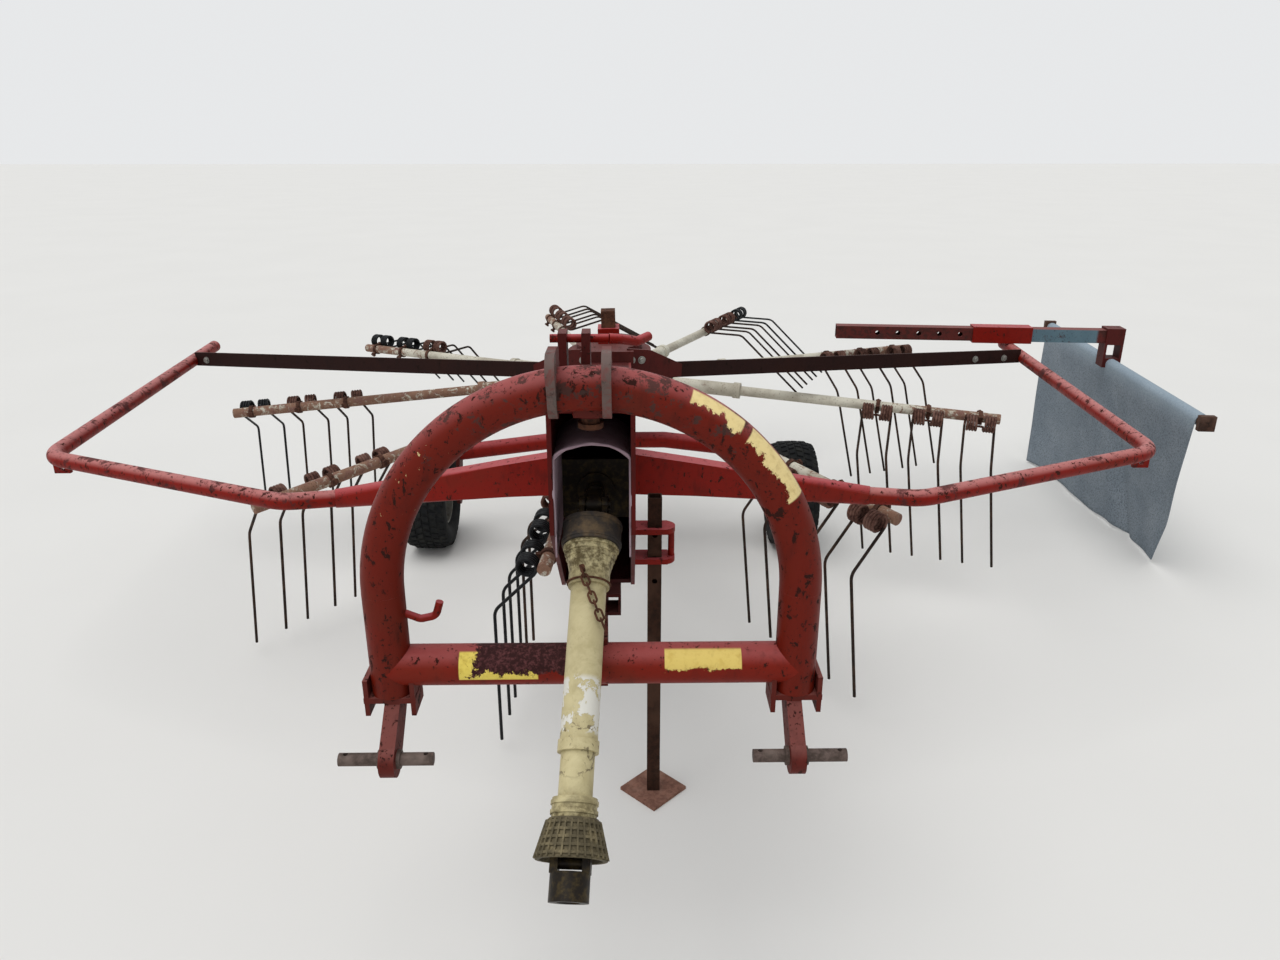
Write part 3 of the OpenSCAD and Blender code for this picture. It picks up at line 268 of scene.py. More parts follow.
def arch_marks(g, colour, roughness, height):
    """Scuffs near the crown, two torn stickers on the right shoulder and pale flecks on the left one."""
    up = g.minus(g.z, ARCH_Z)
    angle = g.times(g.math("ARCTAN2", up, g.x), 180 / math.pi)
    radius = g.math("SQRT", g.plus(g.times(g.x, g.x), g.times(up, up)))
    face = g.band(g.y, ARCH_Y - 4, ARCH_Y - 10)
    ragged = g.plus(g.minus(radius, ARCH_R), g.wander(70, g.noise(30, 8, 0.78, shift=27)))
    more_at_crown = g.lerp(g.band(g.z, 900, 1130), -0.10, 0.035)
    scuffed = g.band(g.plus(g.noise(34, 8, 0.76, 0.2, shift=31), more_at_crown), 0.56, 0.60)
    skin = g.mix(g.times(scuffed, 0.85), colour, srgb("#43302c")), g.lerp(scuffed, roughness, 0.8), height
    for first, last, inner, torn, shift in ARCH_STICKERS:
        strip = g.times(face, g.band(ragged, inner - 0.8, inner + 0.8), g.window(angle, first, last, 0.25))
        skin = sticker(g, skin, strip, "#ecd597", "#b79a5a", torn, 42, shift)
    colour, roughness, height = skin
    flecks = g.times(face, g.window(angle, 128, 160, 2),
                     g.band(g.noise(14, 5, 0.7, shift=57), 0.665, 0.675))
    return g.mix(flecks, colour, srgb("#ddc890")), roughness, height


def cross_marks(g, colour, roughness, height):
    """Two stickers on the cross tube's front, with the left one worn off by a bare, dark patch."""
    face = g.band(g.y, ARCH_Y - 3, ARCH_Y - 7)
    edge = g.wander(120, g.noise(26, 8, 0.8, shift=75))
    left = g.times(face, g.window(g.x, -224, -92, 1.0), g.window(g.z, 634, 676, 1.0))
    skin = (colour, roughness, height)
    colour, roughness, height = sticker(g, skin, left, "#e6cf62", "#b08f2e", 0.34, 44, 63)
    worn = g.times(g.window(g.plus(g.x, edge), -200, 14, 2),
                   g.band(g.plus(g.z, g.times(edge, 0.6)), 645, 647))
    pink = g.band(g.noise(7, 5, 0.7, shift=77), 0.45, 0.65)
    colour = g.mix(worn, colour, g.mix(pink, srgb("#331a1a"), srgb("#5c3536")))
    roughness = g.lerp(worn, roughness, 0.82)
    ragged = g.band(g.plus(g.z, g.times(edge, 0.35)), 650, 651)
    right = g.times(face, g.window(g.x, 120, 249, 1.0), g.window(g.z, 645, 677, 1.0), ragged)
    return sticker(g, (colour, roughness, height), right, "#e3c870", "#c09a3c", 0.30, 44, 67)


def crown_wear(g, colour, roughness, height):
    """Bare grey steel on the front edges of the top-link lugs."""
    bare = g.times(g.band(g.y, -1955, -1985), g.band(g.noise(26, 8, 0.7, 0.8, shift=81), 0.36, 0.52))
    return g.mix(g.times(bare, 0.8), colour, srgb("#665b56")), g.lerp(bare, roughness, 0.6), height


def rail_rubs(g, colour, roughness, height):
    """Dark patches where the guard rails have rubbed."""
    rubbed = g.band(g.noise(80, 7, 0.72, 0.2, shift=91), 0.545, 0.60)
    return g.mix(g.times(rubbed, 0.85), colour, srgb("#4a2827")), g.lerp(rubbed, roughness, 0.78), height


def boom_shade(g, colour, roughness, height):
    """Painted shade: black between the boom's plates, from the crown down."""
    # The mask darkens the inside of the boom with painted shade where the plates shade it.
    darkening = g.times(g.window(g.x, -66, 66, 2), g.band(g.z, 1090, 1000))
    return g.mix(g.times(darkening, 0.7), colour, srgb("#2a0f0e")), roughness, height


def rusty(name, dark, mid, light, rough=0.85, size=14, depth=0.5):
    """Rust in three tones, with features of about size millimetres."""
    g = Graph(name)
    fine = g.noise(size, 7, 0.7, 0.4)
    wide = g.noise(size * 6, 3, 0.6, shift=9)
    colour = g.mix(g.band(fine, 0.35, 0.65), srgb(dark), srgb(mid))
    colour = g.mix(g.times(g.band(wide, 0.48, 0.66), 0.6), colour, srgb(light))
    return g.finish(colour, g.lerp(fine, rough - 0.15, rough + 0.1), fine, depth)


def plain(name, tone, second, rough, size=30, depth=0.25, amount=0.5, metal=0.0):
    """One tone, soiled or scuffed by amount with a second one."""
    g = Graph(name)
    fine = g.noise(size, 6, 0.65)
    colour = g.mix(g.times(g.band(fine, 0.42, 0.7), amount), srgb(tone), srgb(second))
    roughness = g.lerp(g.noise(size * 3, 3, shift=4), rough - 0.1, rough + 0.12)
    return g.finish(colour, roughness, fine, depth, metal)


def tube_plastic(name):
    """Aged cream guard tube with torn white labels, dark smears and grey dirt at its ends."""
    g = Graph(name)
    from_joint = g.vector("SUBTRACT", g.pos, tuple((SHAFT_AT - ORIGIN) / MM))
    along = g.vector("DOT_PRODUCT", from_joint, tuple(SHAFT_DIR), output="Value")
    age = g.band(g.noise(60, 5, 0.65, 0.4), 0.35, 0.7)
    colour = g.mix(age, srgb("#c9bd93"), srgb("#b0a37a"))
    fine = g.noise(9, 6, 0.7, shift=3)
    colour = g.mix(g.times(g.band(fine, 0.55, 0.75), 0.35), colour, srgb("#80734e"))
    ends = g.most(g.band(along, 190, 120), g.band(along, 470, 540))
    dirt = g.times(ends, g.band(g.noise(17, 7, 0.7, shift=15), 0.36, 0.6))
    colour = g.mix(dirt, colour, srgb("#5f5338"))
    front = g.band(g.y, -1900, -1940)
    smear = g.times(g.window(along, 382, 470, 10), front,
                    g.band(g.noise(22, 6, 0.7, 1.0, shift=29), 0.55, 0.6))
    colour = g.mix(g.times(smear, 0.75), colour, srgb("#574a38"))
    label = g.times(g.window(along, 318, 405, 6), front)
    white = g.times(label, g.band(g.noise(44, 7, 0.66, 0.3, shift=33), 0.49, 0.505))
    colour = g.mix(white, colour, srgb("#d9d6cc"))
    return g.finish(colour, g.lerp(white, 0.5, 0.6), g.plus(g.times(fine, 0.4), white), depth=0.3)


def arm_paint(name):
    """Cream paint: thin and specked near the drum, gone to brown rust farther out and on the left arms."""
    g = Graph(name)
    reach = g.vector("LENGTH", g.vector("MULTIPLY", g.pos, (1, 1, 0)), output="Value")
    left = g.times(g.band(g.x, -250, -500), g.band(g.y, 260, 60))
    aged = g.most(g.band(reach, 780, 1330), left)
    bare = g.band(g.plus(g.noise(26, 8, 0.74, 0.8), g.times(aged, 0.22)), 0.60, 0.70)
    tone = g.mix(g.band(g.noise(120, 3), 0.4, 0.65), srgb("#c9c4b4"), srgb("#aaa292"))
    rust = g.mix(g.noise(11, 6, 0.7, shift=6), srgb("#6d4f42"), srgb("#94735f"))
    rust = g.mix(g.band(g.noise(34, 5, 0.6, shift=17), 0.5, 0.62), rust, srgb("#7b5a50"))
    colour = g.mix(bare, tone, rust)
    specks = g.band(g.noise(5, 4, 0.6, shift=13), 0.60, 0.66)
    colour = g.mix(g.times(specks, 0.75), colour, srgb("#4a342a"))
    return g.finish(colour, g.lerp(bare, 0.55, 0.85), g.minus(1.0, bare), depth=0.35)


def carrier_paint(name):
    """Square tube: blue-grey on the sides beyond the sleeve, dark worn red within and on top."""
    g = Graph(name)
    blotch = g.noise(24, 8, 0.72, 0.7)
    top = g.upward(0.5, 0.8)
    beyond = g.times(g.window(g.x, 1640, 1890, 6), g.minus(1.0, top), g.band(blotch, 0.66, 0.58))
    red = g.mix(g.band(blotch, 0.42, 0.6), srgb("#5a2622"), srgb("#432420"))
    red = g.mix(top, red, srgb("#7a4a46"))
    colour = g.mix(beyond, red, g.mix(g.noise(60, 4), srgb("#4d6470"), srgb("#67808a")))
    specks = g.band(g.noise(6, 4, 0.6, shift=19), 0.62, 0.67)
    return g.finish(g.mix(specks, colour, srgb("#2c1b17")), 0.62, blotch, depth=0.3)


def cloth(name):
    """Grey-blue coated cloth with a fine weave and specks, paler along the bar."""
    g = Graph(name)
    colour = g.mix(g.band(g.noise(150, 3, 0.5), 0.3, 0.75), srgb("#78828b"), srgb("#8a939b"))
    fine = g.noise(5.5, 4, 0.7, shift=8)
    colour = g.mix(g.times(g.band(fine, 0.46, 0.62), 0.7), colour, srgb("#4d5760"))
    pale = g.times(g.band(g.noise(3.5, 3, 0.6, shift=12), 0.60, 0.70), 0.5)
    colour = g.mix(pale, colour, srgb("#aeb3b4"))
    colour = g.mix(g.times(g.band(g.z, 560, 650), 0.5), colour, srgb("#a3b4c0"))
    threads = g.plus(g.math("SINE", g.times(g.y, 2.2)), g.math("SINE", g.times(g.z, 2.2)))
    return g.finish(colour, 0.8, g.plus(g.times(threads, 0.25), fine), depth=0.35)


# Paint, faded paint, chips and rust of the plain red parts
RED = ("#7d1409", "#6e2013", "#3c0d08", "#38211a")
# The top tones are painted highlights on the surfaces of each part that face up.
MATS = {
    "red": worn_paint("red_paint_worn", *RED, chips=0.62, fade=0.35, top="#bd5a5e"),
    "rail": worn_paint("red_paint_rail", *RED, chips=0.8, fade=0.45, extra=rail_rubs, top="#cc8b87"),
    "arch": worn_paint("red_paint_arch", "#68180a", "#5f2316", "#36100a", "#2a1a15",
                       chips=0.74, extra=arch_marks, top="#b0605f"),
    "cross": worn_paint("red_paint_cross", "#771b0d", "#6c2719", "#3a110b", "#2f1b16",
                        chips=0.6, fade=0.45, extra=cross_marks, top="#ab5857"),
    "boom": worn_paint("red_paint_boom", "#5a0f0b", "#4c1812", "#220907", "#2a1813",
                       chips=0.55, fade=0.4, extra=boom_shade, top="#8d4a48"),
    "lugs": worn_paint("lug_paint_worn", "#6a3a36", "#7d5450", "#4d3c39", "#4d3b34",
                       chips=0.7, fade=0.8, rough=0.6, extra=crown_wear),
    "dark_red": worn_paint("dark_red_paint", "#4d1a17", "#452420", "#230f0c", "#321d15",
                           chips=0.55, rough=0.6, top="#6d4340"),
    "brace": worn_paint("brace_paint", "#240f0c", "#2c1712", "#150a08", "#25150f",
                        chips=0.6, fade=0.6, rough=0.6, top="#523b36"),
    "hitch": worn_paint("hitch_paint_worn", "#5c2019", "#63302a", "#33130e", "#33201a",
                        chips=0.75, fade=0.6, rough=0.55, top="#85504a"),
    "hood": worn_paint("hood_paint", "#9a838c", "#b3a2aa", "#705860", "#54403f",
                       chips=0.45, fade=0.7, rough=0.5),
    "carrier": carrier_paint("carrier_paint"),
    "bolt": plain("zinc_bolt", "#8d8c86", "#6a625a",
                  rough=0.45, size=6, depth=0.1, amount=0.6, metal=0.5),
    "rust": rusty("rusty_steel", "#35221a", "#5d3c2c", "#76503a"),
    "stand": rusty("stand_rust", "#261710", "#3b251b", "#4d362a"),
    "foot": rusty("foot_rust", "#6b4b40", "#8b6556", "#9c7a6a"),
    "pin": rusty("pin_steel", "#453a34", "#655650", "#7f7068", rough=0.7),
    "coil": rusty("coil_rust", "#3d2620", "#694a40", "#85655a", rough=0.8, size=9, depth=0.3),
    "drum": rusty("drum_rust", "#2c1e19", "#4d3227", "#63483a"),
    "wire": rusty("wire_rust", "#1c1513", "#33261f", "#493529", rough=0.7, size=7, depth=0.15),
    "clamp": rusty("clamp_rust", "#33201a", "#55382c", "#6b4a3c", rough=0.8, size=9, depth=0.4),
    "steel": plain("greasy_steel", "#221d18", "#4e4126",
                   rough=0.45, size=14, depth=0.6, amount=0.7, metal=0.2),
    "black_wire": plain("black_spring", "#17181a", "#2c2d2f", rough=0.42, size=12, depth=0.1, metal=0.2),
    "cone": plain("grimy_cone", "#564e3c", "#83775b", rough=0.7, size=16, depth=0.4, amount=0.8),
    "bell": plain("bell_plastic", "#3a3633", "#7d674a", rough=0.5, size=44, depth=0.3, amount=0.75),
    "tyre": plain("tyre_rubber", "#1b1c1d", "#33332f", rough=0.85, size=34, depth=0.5, amount=0.6),
    "rim": plain("rim_paint", "#87867f", "#6a645a", rough=0.55, size=36, depth=0.3, amount=0.8),
    "bar": rusty("bar_rust", "#2a1d18", "#4b352b", "#614a3f"),
    "arm": arm_paint("cream_paint_arms"),
    "cream": tube_plastic("cream_plastic"),
    "cloth": cloth("curtain_cloth"),
}

# Material of each node; the others are red
NODE_LOOK = {
    "boom": "boom", "lower_strut": "dark_red", "shaft_hood": "hood", "gearbox": "dark_red",
    "input_shaft": "steel", "height_bar": "rust", "brace_bracket": "dark_red",
    "brace_left": "brace", "brace_right": "brace", "rail_left": "rail", "rail_right": "rail",
    "latch_bracket": "dark_red", "wheel_leg_left": "dark_red", "wheel_leg_right": "dark_red",
    "arch": "arch", "cross_tube": "cross", "top_link_lugs": "lugs", "swivel_ears": "hitch",
    "swivel_pins": "rust", "hitch_arms": "hitch", "hitch_pins": "pin", "drum": "drum",
    "arm_sleeves": "arm", "arm_tubes": "arm", "tine_clamps": "clamp", "tines_worn": "wire",
    "tines_renewed": "black_wire", "tyre_left": "tyre", "tyre_right": "tyre", "rim_left": "rim",
    "rim_right": "rim", "stand_leg": "stand", "stand_foot": "foot", "carrier": "carrier",
    "curtain_bracket": "dark_red", "curtain_bar": "bar", "curtain": "cloth", "shaft_joint": "steel",
    "shaft_bell": "bell", "shaft_cone": "cream", "outer_tube": "cream", "inner_tube": "cream",
    "shaft_chain": "rust", "end_cone": "cone", "end_yoke": "steel",
}
for name, thing in NODES.items():
    thing.data.materials.clear()
    thing.data.materials.append(MATS[NODE_LOOK.get(name, "red")])


# Meshes
UNMOVED = Matrix.Identity(4)
BAR_SIDES = 8
# Share of a nut's height and radius that is left below its chamfer
UNCHAMFERED = 0.88


def angles(count, start=0.0):
    """Angles of count places spread evenly round a circle, the first one start places on."""
    return [2 * math.pi * (k + start) / count for k in range(count)]


def ring_faces(first, second, count):
    """Faces between two rings of count points, whose points begin at first and at second."""
    faces = []
    for k in range(count):
        after = (k + 1) % count
        faces.append((first + k, first + after, second + after, second + k))
    return faces


def add_mesh(name, points, faces, look, body, smooth=True):
    """A new piece with a look from MATS, riding on a body."""
    data = bpy.data.meshes.new(name)
    data.from_pydata([tuple(p) for p in points], [], faces)
    data.validate()
    data.materials.append(MATS[look])
    made = bpy.data.objects.new(name, data)
    bpy.context.scene.collection.objects.link(made)
    if smooth:
        for polygon in data.polygons:
            polygon.use_smooth = True
    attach(made, body)
    return made


class Soup:
    """Points and faces gathered from several pieces of the same look."""

    def __init__(self):
        self.points = []
        self.faces = []
        self.seconds = set()

    def add(self, points, faces, matrix=UNMOVED):
        start = len(self.points)
        self.points += [matrix @ Vector(p) for p in points]
        self.faces += [tuple(start + i for i in f) for f in faces]

    def stack(self, rings, matrix=UNMOVED):
        """Solid through rings of as many points each, closed at both ends."""
        count = len(rings[0])
        last = (len(rings) - 1) * count
        faces = []
        for start in range(0, last, count):
            faces += ring_faces(start, start + count, count)
        faces.append(tuple(reversed(range(count))))
        faces.append(tuple(range(last, last + count)))
        self.add([p for ring in rings for p in ring], faces, matrix)

    def tube(self, path, radius, matrix=UNMOVED, second=range(0)):
        """Round bar along path, with closed ends; the steps in second take the second material."""
        start = len(self.faces)
        self.seconds.update(start + i * BAR_SIDES + k for i in second for k in range(BAR_SIDES))
        normal = None
        rings = []
        for i, p in enumerate(path):
            ahead = (path[min(i + 1, len(path) - 1)] - path[max(i - 1, 0)]).normalized()
            if normal is None:
                normal = ahead.orthogonal().normalized()
            normal = (normal - ahead * normal.dot(ahead)).normalized()
            other = ahead.cross(normal)
            rings.append([p + radius * (math.cos(turn) * normal + math.sin(turn) * other)
                          for turn in angles(BAR_SIDES)])
        self.stack(rings, matrix)

    def prism(self, sides, radius, height, matrix):
        """Upright prism with a chamfered top, from z = 0 up."""
        top = UNCHAMFERED
        self.stack([[(r * math.cos(turn), r * math.sin(turn), z) for turn in angles(sides, 0.5)]
                    for r, z in ((radius, 0), (radius, height * top), (radius * top, height))], matrix)

    def make(self, name, look, body, smooth=True, second_look=None):
        """The gathered faces as one piece."""
        made = add_mesh(name, self.points, self.faces, look, body, smooth)
        if second_look:
            made.data.materials.append(MATS[second_look])
            for i in self.seconds:
                made.data.polygons[i].material_index = 1
        return made


def shade_by_angle(piece, degrees):
    """Rounds what is nearly flat and keeps real edges sharp."""
    mesh = bmesh.new()
    mesh.from_mesh(piece.data)
    limit = math.radians(degrees)
    for edge in mesh.edges:
        edge.smooth = len(edge.link_faces) == 2 and edge.calc_face_angle(0) < limit
    for face in mesh.faces:
        face.smooth = True
    mesh.to_mesh(piece.data)
    mesh.free()


# Rotor arms: where they stand round the rotor, how they lean, and how far the cam rolls them and where
ARM_COUNT = 9
ARM_PHASE = 24
ARM_R = 17
DROOP = math.radians(3.1)
TILT = -math.asin(ROTOR_AXIS.y)
ROLL = math.atan2(ROTOR_AXIS.x, ROTOR_AXIS.z)
CAM_LIFT = 58
CAM_PEAK = 103

# Spring tines: where they sit on an arm, their coil and its clearances, and their leg with its knee
TINES_PER_ARM = 3
TINE_OUTER = 1290
TINE_PITCH = 167
WIRE_R = 4.3
WIRE_PITCH = 9
COIL_R = 24
COIL_TURNS = 5
COIL_GAP = 14
COIL_STEPS = 18
COIL_SEAT = math.radians(8)
COIL_CLEAR = 1
LINK_CLEAR = 3
SEAT_R = ARM_R + COIL_R + WIRE_PITCH / 2 + COIL_CLEAR
COIL_AT = Vector((0, -SEAT_R * math.cos(COIL_SEAT), -SEAT_R * math.sin(COIL_SEAT)))
# Where both halves of the wire meet under the clamp, back and down from the coil's axis
LINK = (COIL_R - LINK_CLEAR) * 0.707
UPPER_LEG = 150
LOWER_LEG = 355
SLOPE = math.radians(45)
SPLAY = math.radians(10)
KNEE_R = 40
# How many of each arm's tines, counted from its end, have been renewed
RENEWED = (0, 1, 0, 2, 1, 0, 2, 0, 0)


def arm_matrix(direction):
    """Matrix in millimetres from the rotor's hub, with X along an arm."""
    hub = Matrix.Translation(ROTOR_AT) @ Matrix.Rotation(ROLL, 4, "Y") @ Matrix.Rotation(TILT, 4, "X")
    turned = hub @ Matrix.Rotation(math.radians(direction), 4, "Z") @ Matrix.Rotation(DROOP, 4, "Y")
    return turned @ Matrix.Scale(MM, 4)


def tine_matrix(arm, place):
    """Matrix of a tine, rolled by the cam about its arm; place counts from the arm's end."""
    direction = ARM_PHASE + arm * 360 / ARM_COUNT
    roll = CAM_LIFT * max(0, math.cos(math.radians(direction - CAM_PEAK)))
    along = Matrix.Translation((TINE_OUTER - place * TINE_PITCH, 0, 0))
    return arm_matrix(direction) @ along @ Matrix.Rotation(math.radians(-roll), 4, "X")


def tine_places():
    """Arm and place of every tine."""
    return [(arm, place) for arm in range(ARM_COUNT) for place in range(TINES_PER_ARM)]


def tine_half(side):
    """Wire of one half of a double tine: its leg from the tip up, and its coil from the outer end in."""
    slope = Vector((0, -math.cos(SLOPE), -math.sin(SLOPE)))
    outer = COIL_GAP / 2 + COIL_TURNS * WIRE_PITCH - WIRE_PITCH / 2
    start = COIL_AT + Vector((side * outer, COIL_R * math.sin(SLOPE), -COIL_R * math.cos(SLOPE)))
    knee = start + UPPER_LEG * slope
    down = Vector((math.sin(SPLAY), 0, -math.cos(SPLAY)))
    cut = KNEE_R * math.tan(slope.angle(down) / 2)
    below = knee + cut * down
    above = knee - cut * slope
    leg = [knee + down * LOWER_LEG * f for f in (1, 0.6, 0.3)]
    for f in (0, 0.2, 0.4, 0.6, 0.8, 1):
        leg.append(below * (1 - f) ** 2 + knee * 2 * f * (1 - f) + above * f ** 2)
    leg += [knee - slope * d for d in (70, 110)]
    coil = []
    for i in range((COIL_TURNS - 1) * COIL_STEPS + 1):
        turn = -math.pi / 4 + 2 * math.pi * i / COIL_STEPS
        x = outer - WIRE_PITCH * i / COIL_STEPS
        coil.append(COIL_AT + Vector((side * x, COIL_R * math.cos(turn), COIL_R * math.sin(turn))))
    return leg, coil


def make_tines():
    """All tines as round wire; the coils of the worn ones are browner than their legs."""
    leg, coil = tine_half(1)
    far_leg, far_coil = tine_half(-1)
    link = COIL_AT + Vector((0, LINK, -LINK))
    wire = leg + coil + [link] + far_coil[::-1] + far_leg[::-1]
    coils = range(len(leg), len(wire) - len(leg) - 1)
    kinds = {"tines_worn": Soup(), "tines_renewed": Soup()}
    for arm, place in tine_places():
        kind = "tines_renewed" if place < RENEWED[arm] else "tines_worn"
        kinds[kind].tube(wire, WIRE_R, tine_matrix(arm, place), coils)
    for node, soup in kinds.items():
        looks = ("black_wire", "black_wire") if node == "tines_renewed" else ("wire", "coil")
        made = soup.make("spring_" + node, looks[0], "rotor", second_look=looks[1])
        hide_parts(node)


# Nuts and bolts, with the inner and the outer end of the right brace's line; the left one mirrors it
BRACE_IN = Vector((110, -470, 760))
BRACE_OUT = Vector((1552, 130, 662))
# Bolts on the right and the left brace: how far along the brace, above its line and behind it
BRACE_BOLTS = {
    1: ((-46, 62, -10), (-12, 62, -10), (112, 34, 0), (1345, 20, 0), (1484, 20, 0)),
    -1: ((-46, 62, -10), (112, 34, 0), (1512, 22, 0)),
}
# Distance of a clamp's back from its arm's axis, and the wheel bolts' circle and face
CLAMP_BACK = 29
WHEEL_BOLT_R = 50
WHEEL_DISC_FACE = 3


def make_brace_bolts():
    """Washers and nuts on the front of the two long braces."""
    run = (BRACE_OUT - BRACE_IN).normalized()
    rise = (Vector((0, 0, 1)) - run * run.z).normalized()
    back = rise.cross(run)
    soup = Soup()
    for side, bolts in BRACE_BOLTS.items():
        for along, above, behind in bolts:
            spot = BRACE_IN + back * behind + rise * above + run * along
            matrix = facing((side * spot.x, spot.y, spot.z), (side * -back.x, -back.y, -back.z))
            soup.prism(sides=20, radius=12.5, height=2.2, matrix=matrix)
            soup.prism(sides=6, radius=9.5, height=8.5, matrix=matrix)
    soup.make("brace_bolts", "bolt", "frame", smooth=False)


def make_clamp_nuts():
    """A nut behind each tine clamp."""
    seat = (Matrix.Rotation(COIL_SEAT, 4, "X") @ Matrix.Translation((0, CLAMP_BACK, 0))
            @ Matrix.Rotation(-math.pi / 2, 4, "X"))
    soup = Soup()
    for arm, place in tine_places():
        soup.prism(sides=6, radius=11, height=8, matrix=tine_matrix(arm, place) @ seat)
    soup.make("clamp_nuts", "clamp", "rotor", smooth=False)


def make_wheel_bolts(side, body, joint):
    """Four bolts on the outer face of a wheel's disc."""
    centre = Vector(JOINTS[joint]["pos_m"])
    outward = Matrix.Rotation(side * math.pi / 2, 4, "Y") @ Matrix.Scale(MM, 4)
    soup = Soup()
    for turn in angles(4, 0.5):
        round_hub = Vector((0, math.cos(turn), math.sin(turn))) * WHEEL_BOLT_R
        spot = centre + (Vector((side * WHEEL_DISC_FACE, 0, 0)) + round_hub) * MM
        soup.prism(sides=6, radius=9, height=8, matrix=Matrix.Translation(spot) @ outward)
    soup.make("bolts_" + body, "bolt", body, smooth=False)


# The hood's front lip: place, half width, foot and shoulder of its sides, rise of its crown
LIP_Y = -1873
LIP_HALF = 64.5
LIP_FOOT = 850
LIP_SHOULDER = 985
LIP_RISE = 28
LIP_STEP = 15
LIP_CROWN_STEPS = 13
LIP_CROWN_DROP = 2
LIP_SIDE_DROP = 5
LIP_WIRE_R = 2.4 * MM


def make_hood_lip():
    """Curled and slightly wavy front edge of the bent hood sheet."""
    path = [(-LIP_HALF, z) for z in range(LIP_FOOT, LIP_SHOULDER, LIP_STEP)]
    for k in range(LIP_CROWN_STEPS):
        turn = math.pi - (k + 0.5) * math.pi / LIP_CROWN_STEPS
        z = LIP_SHOULDER - LIP_CROWN_DROP + LIP_RISE * math.sin(turn)
        path.append((LIP_HALF * math.cos(turn), z))
    path += [(LIP_HALF, z) for z in range(LIP_SHOULDER - LIP_SIDE_DROP, LIP_FOOT, -LIP_STEP)]
    points = []
    for k, (x, z) in enumerate(path):
        wave = 3.5 * math.sin(k * 0.9) + 1.5 * math.sin(k * 2.3)
        points.append(at(x, LIP_Y + wave, z))
    soup = Soup()
    soup.tube(points, LIP_WIRE_R)
    soup.make("hood_lip", "hood", "frame")


# Drive shaft guard: distances along the shaft from its joint, with radii
FIN_COUNT = 30
FIN_HALF = 1.4
FIN_PROFILE = ((533, 37), (586, 52), (586, 57), (533, 42.5))
RING_ALONG = 152
RING_R = 36.2
RING_WIRE_R = 1.9 * MM
RING_STEPS = 36


def off_shaft(turn):
    """Direction square to the drive shaft, at an angle round it."""
    side = SHAFT_DIR.orthogonal().normalized()
    return side * math.cos(turn) + SHAFT_DIR.cross(side) * math.sin(turn)


def make_cone_fins():
    """Radial fins between the rings of the shaft's end cone."""
    soup = Soup()
    for turn in angles(FIN_COUNT):
        out = off_shaft(turn)
        edge = SHAFT_DIR.cross(out) * FIN_HALF
        soup.stack([[SHAFT_AT + (SHAFT_DIR * along + out * radius + edge * side) * MM
                     for along, radius in FIN_PROFILE] for side in (1, -1)])
    soup.make("cone_fins", "cone", "shaft_inner", smooth=False)


def make_ring_clamp():
    """Wire ring round the foot of the shaft's upper cone."""
    turns = angles(RING_STEPS) + [2 * math.pi]
    soup = Soup()
    soup.tube([SHAFT_AT + (SHAFT_DIR * RING_ALONG + off_shaft(turn) * RING_R) * MM for turn in turns],
              RING_WIRE_R)
    soup.make("ring_clamp", "rust", "shaft_outer")


# Tyres
TYRE_R = 200
RIM_R = 104
TYRE_STEPS = 96
TREAD_BLOCKS = 40
BLOCK_HALF = 10.5
BLOCK_LEAN = 3
BLOCK_TAPER = 0.82
SHARP_EDGE = 30
# Rows of tread blocks: middle, width, depth of the foot and of the top below the tyre's radius
TREAD_ROWS = ((-66, 20, 16, 8), (-40, 23, 8, 1.5), (-13, 23, 7, 0.3),
              (13, 23, 7, 0.3), (40, 23, 8, 1.5), (66, 20, 16, 8))
# Where across the tyre its shoulder begins, and how far a block's outer edge falls there and within
SHOULDER = 50
SHOULDER_FALL = 4
TREAD_FALL = 1


def tyre_profile():
    """Radius and place across the tyre of the carcass, from one bead round to the other."""
    half = [(RIM_R, 50), (RIM_R + 12, 66), (RIM_R + 34, 79), (RIM_R + 56, 81), (TYRE_R - 24, 77),
            (TYRE_R - 13, 68), (TYRE_R - 8, 52), (TYRE_R - 6, 26), (TYRE_R - 5.5, 0)]
    return half + [(r, -w) for r, w in reversed(half[:-1])]


def add_carcass(soup, matrix):
    """Closed ring of the tyre's profile."""
    profile = tyre_profile()
    count = len(profile)
    points = []
    faces = []
    for i, turn in enumerate(angles(TYRE_STEPS)):
        points += [(w, r * math.cos(turn), r * math.sin(turn)) for r, w in profile]
        faces += ring_faces(i * count, (i + 1) % TYRE_STEPS * count, count)
    soup.add(points, faces, matrix)


def block_rings(middle, width, foot, top):
    """Foot and top of one tread block; its outer edge is the lower one."""
    lean = BLOCK_LEAN if middle < 0 else -BLOCK_LEAN
    fall = SHOULDER_FALL if abs(middle) > SHOULDER else TREAD_FALL
    rings = []
    for depth, taper, outer in ((foot, 1.0, 0), (top, BLOCK_TAPER, fall)):
        rings.append([(middle + u * width / 2 * taper, v * BLOCK_HALF * taper + lean * u,
                       TYRE_R - depth - (outer if u * middle > 0 else 0))
                      for u, v in ((-1, -1), (1, -1), (1, 1), (-1, 1))])
    return rings


def make_tyre(node, body, joint):
    """Carcass with staggered rows of tread blocks."""
    matrix = Matrix.Translation(Vector(JOINTS[joint]["pos_m"])) @ Matrix.Scale(MM, 4)
    soup = Soup()
    add_carcass(soup, matrix)
    for row, sizes in enumerate(TREAD_ROWS):
        rings = block_rings(*sizes)
        for turn in angles(TREAD_BLOCKS, 0.5 * (row % 2)):
            soup.stack(rings, matrix @ Matrix.Rotation(turn, 4, "X"))
    made = soup.make("tread_" + node, "tyre", body)
    shade_by_angle(made, SHARP_EDGE)
    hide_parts(node)


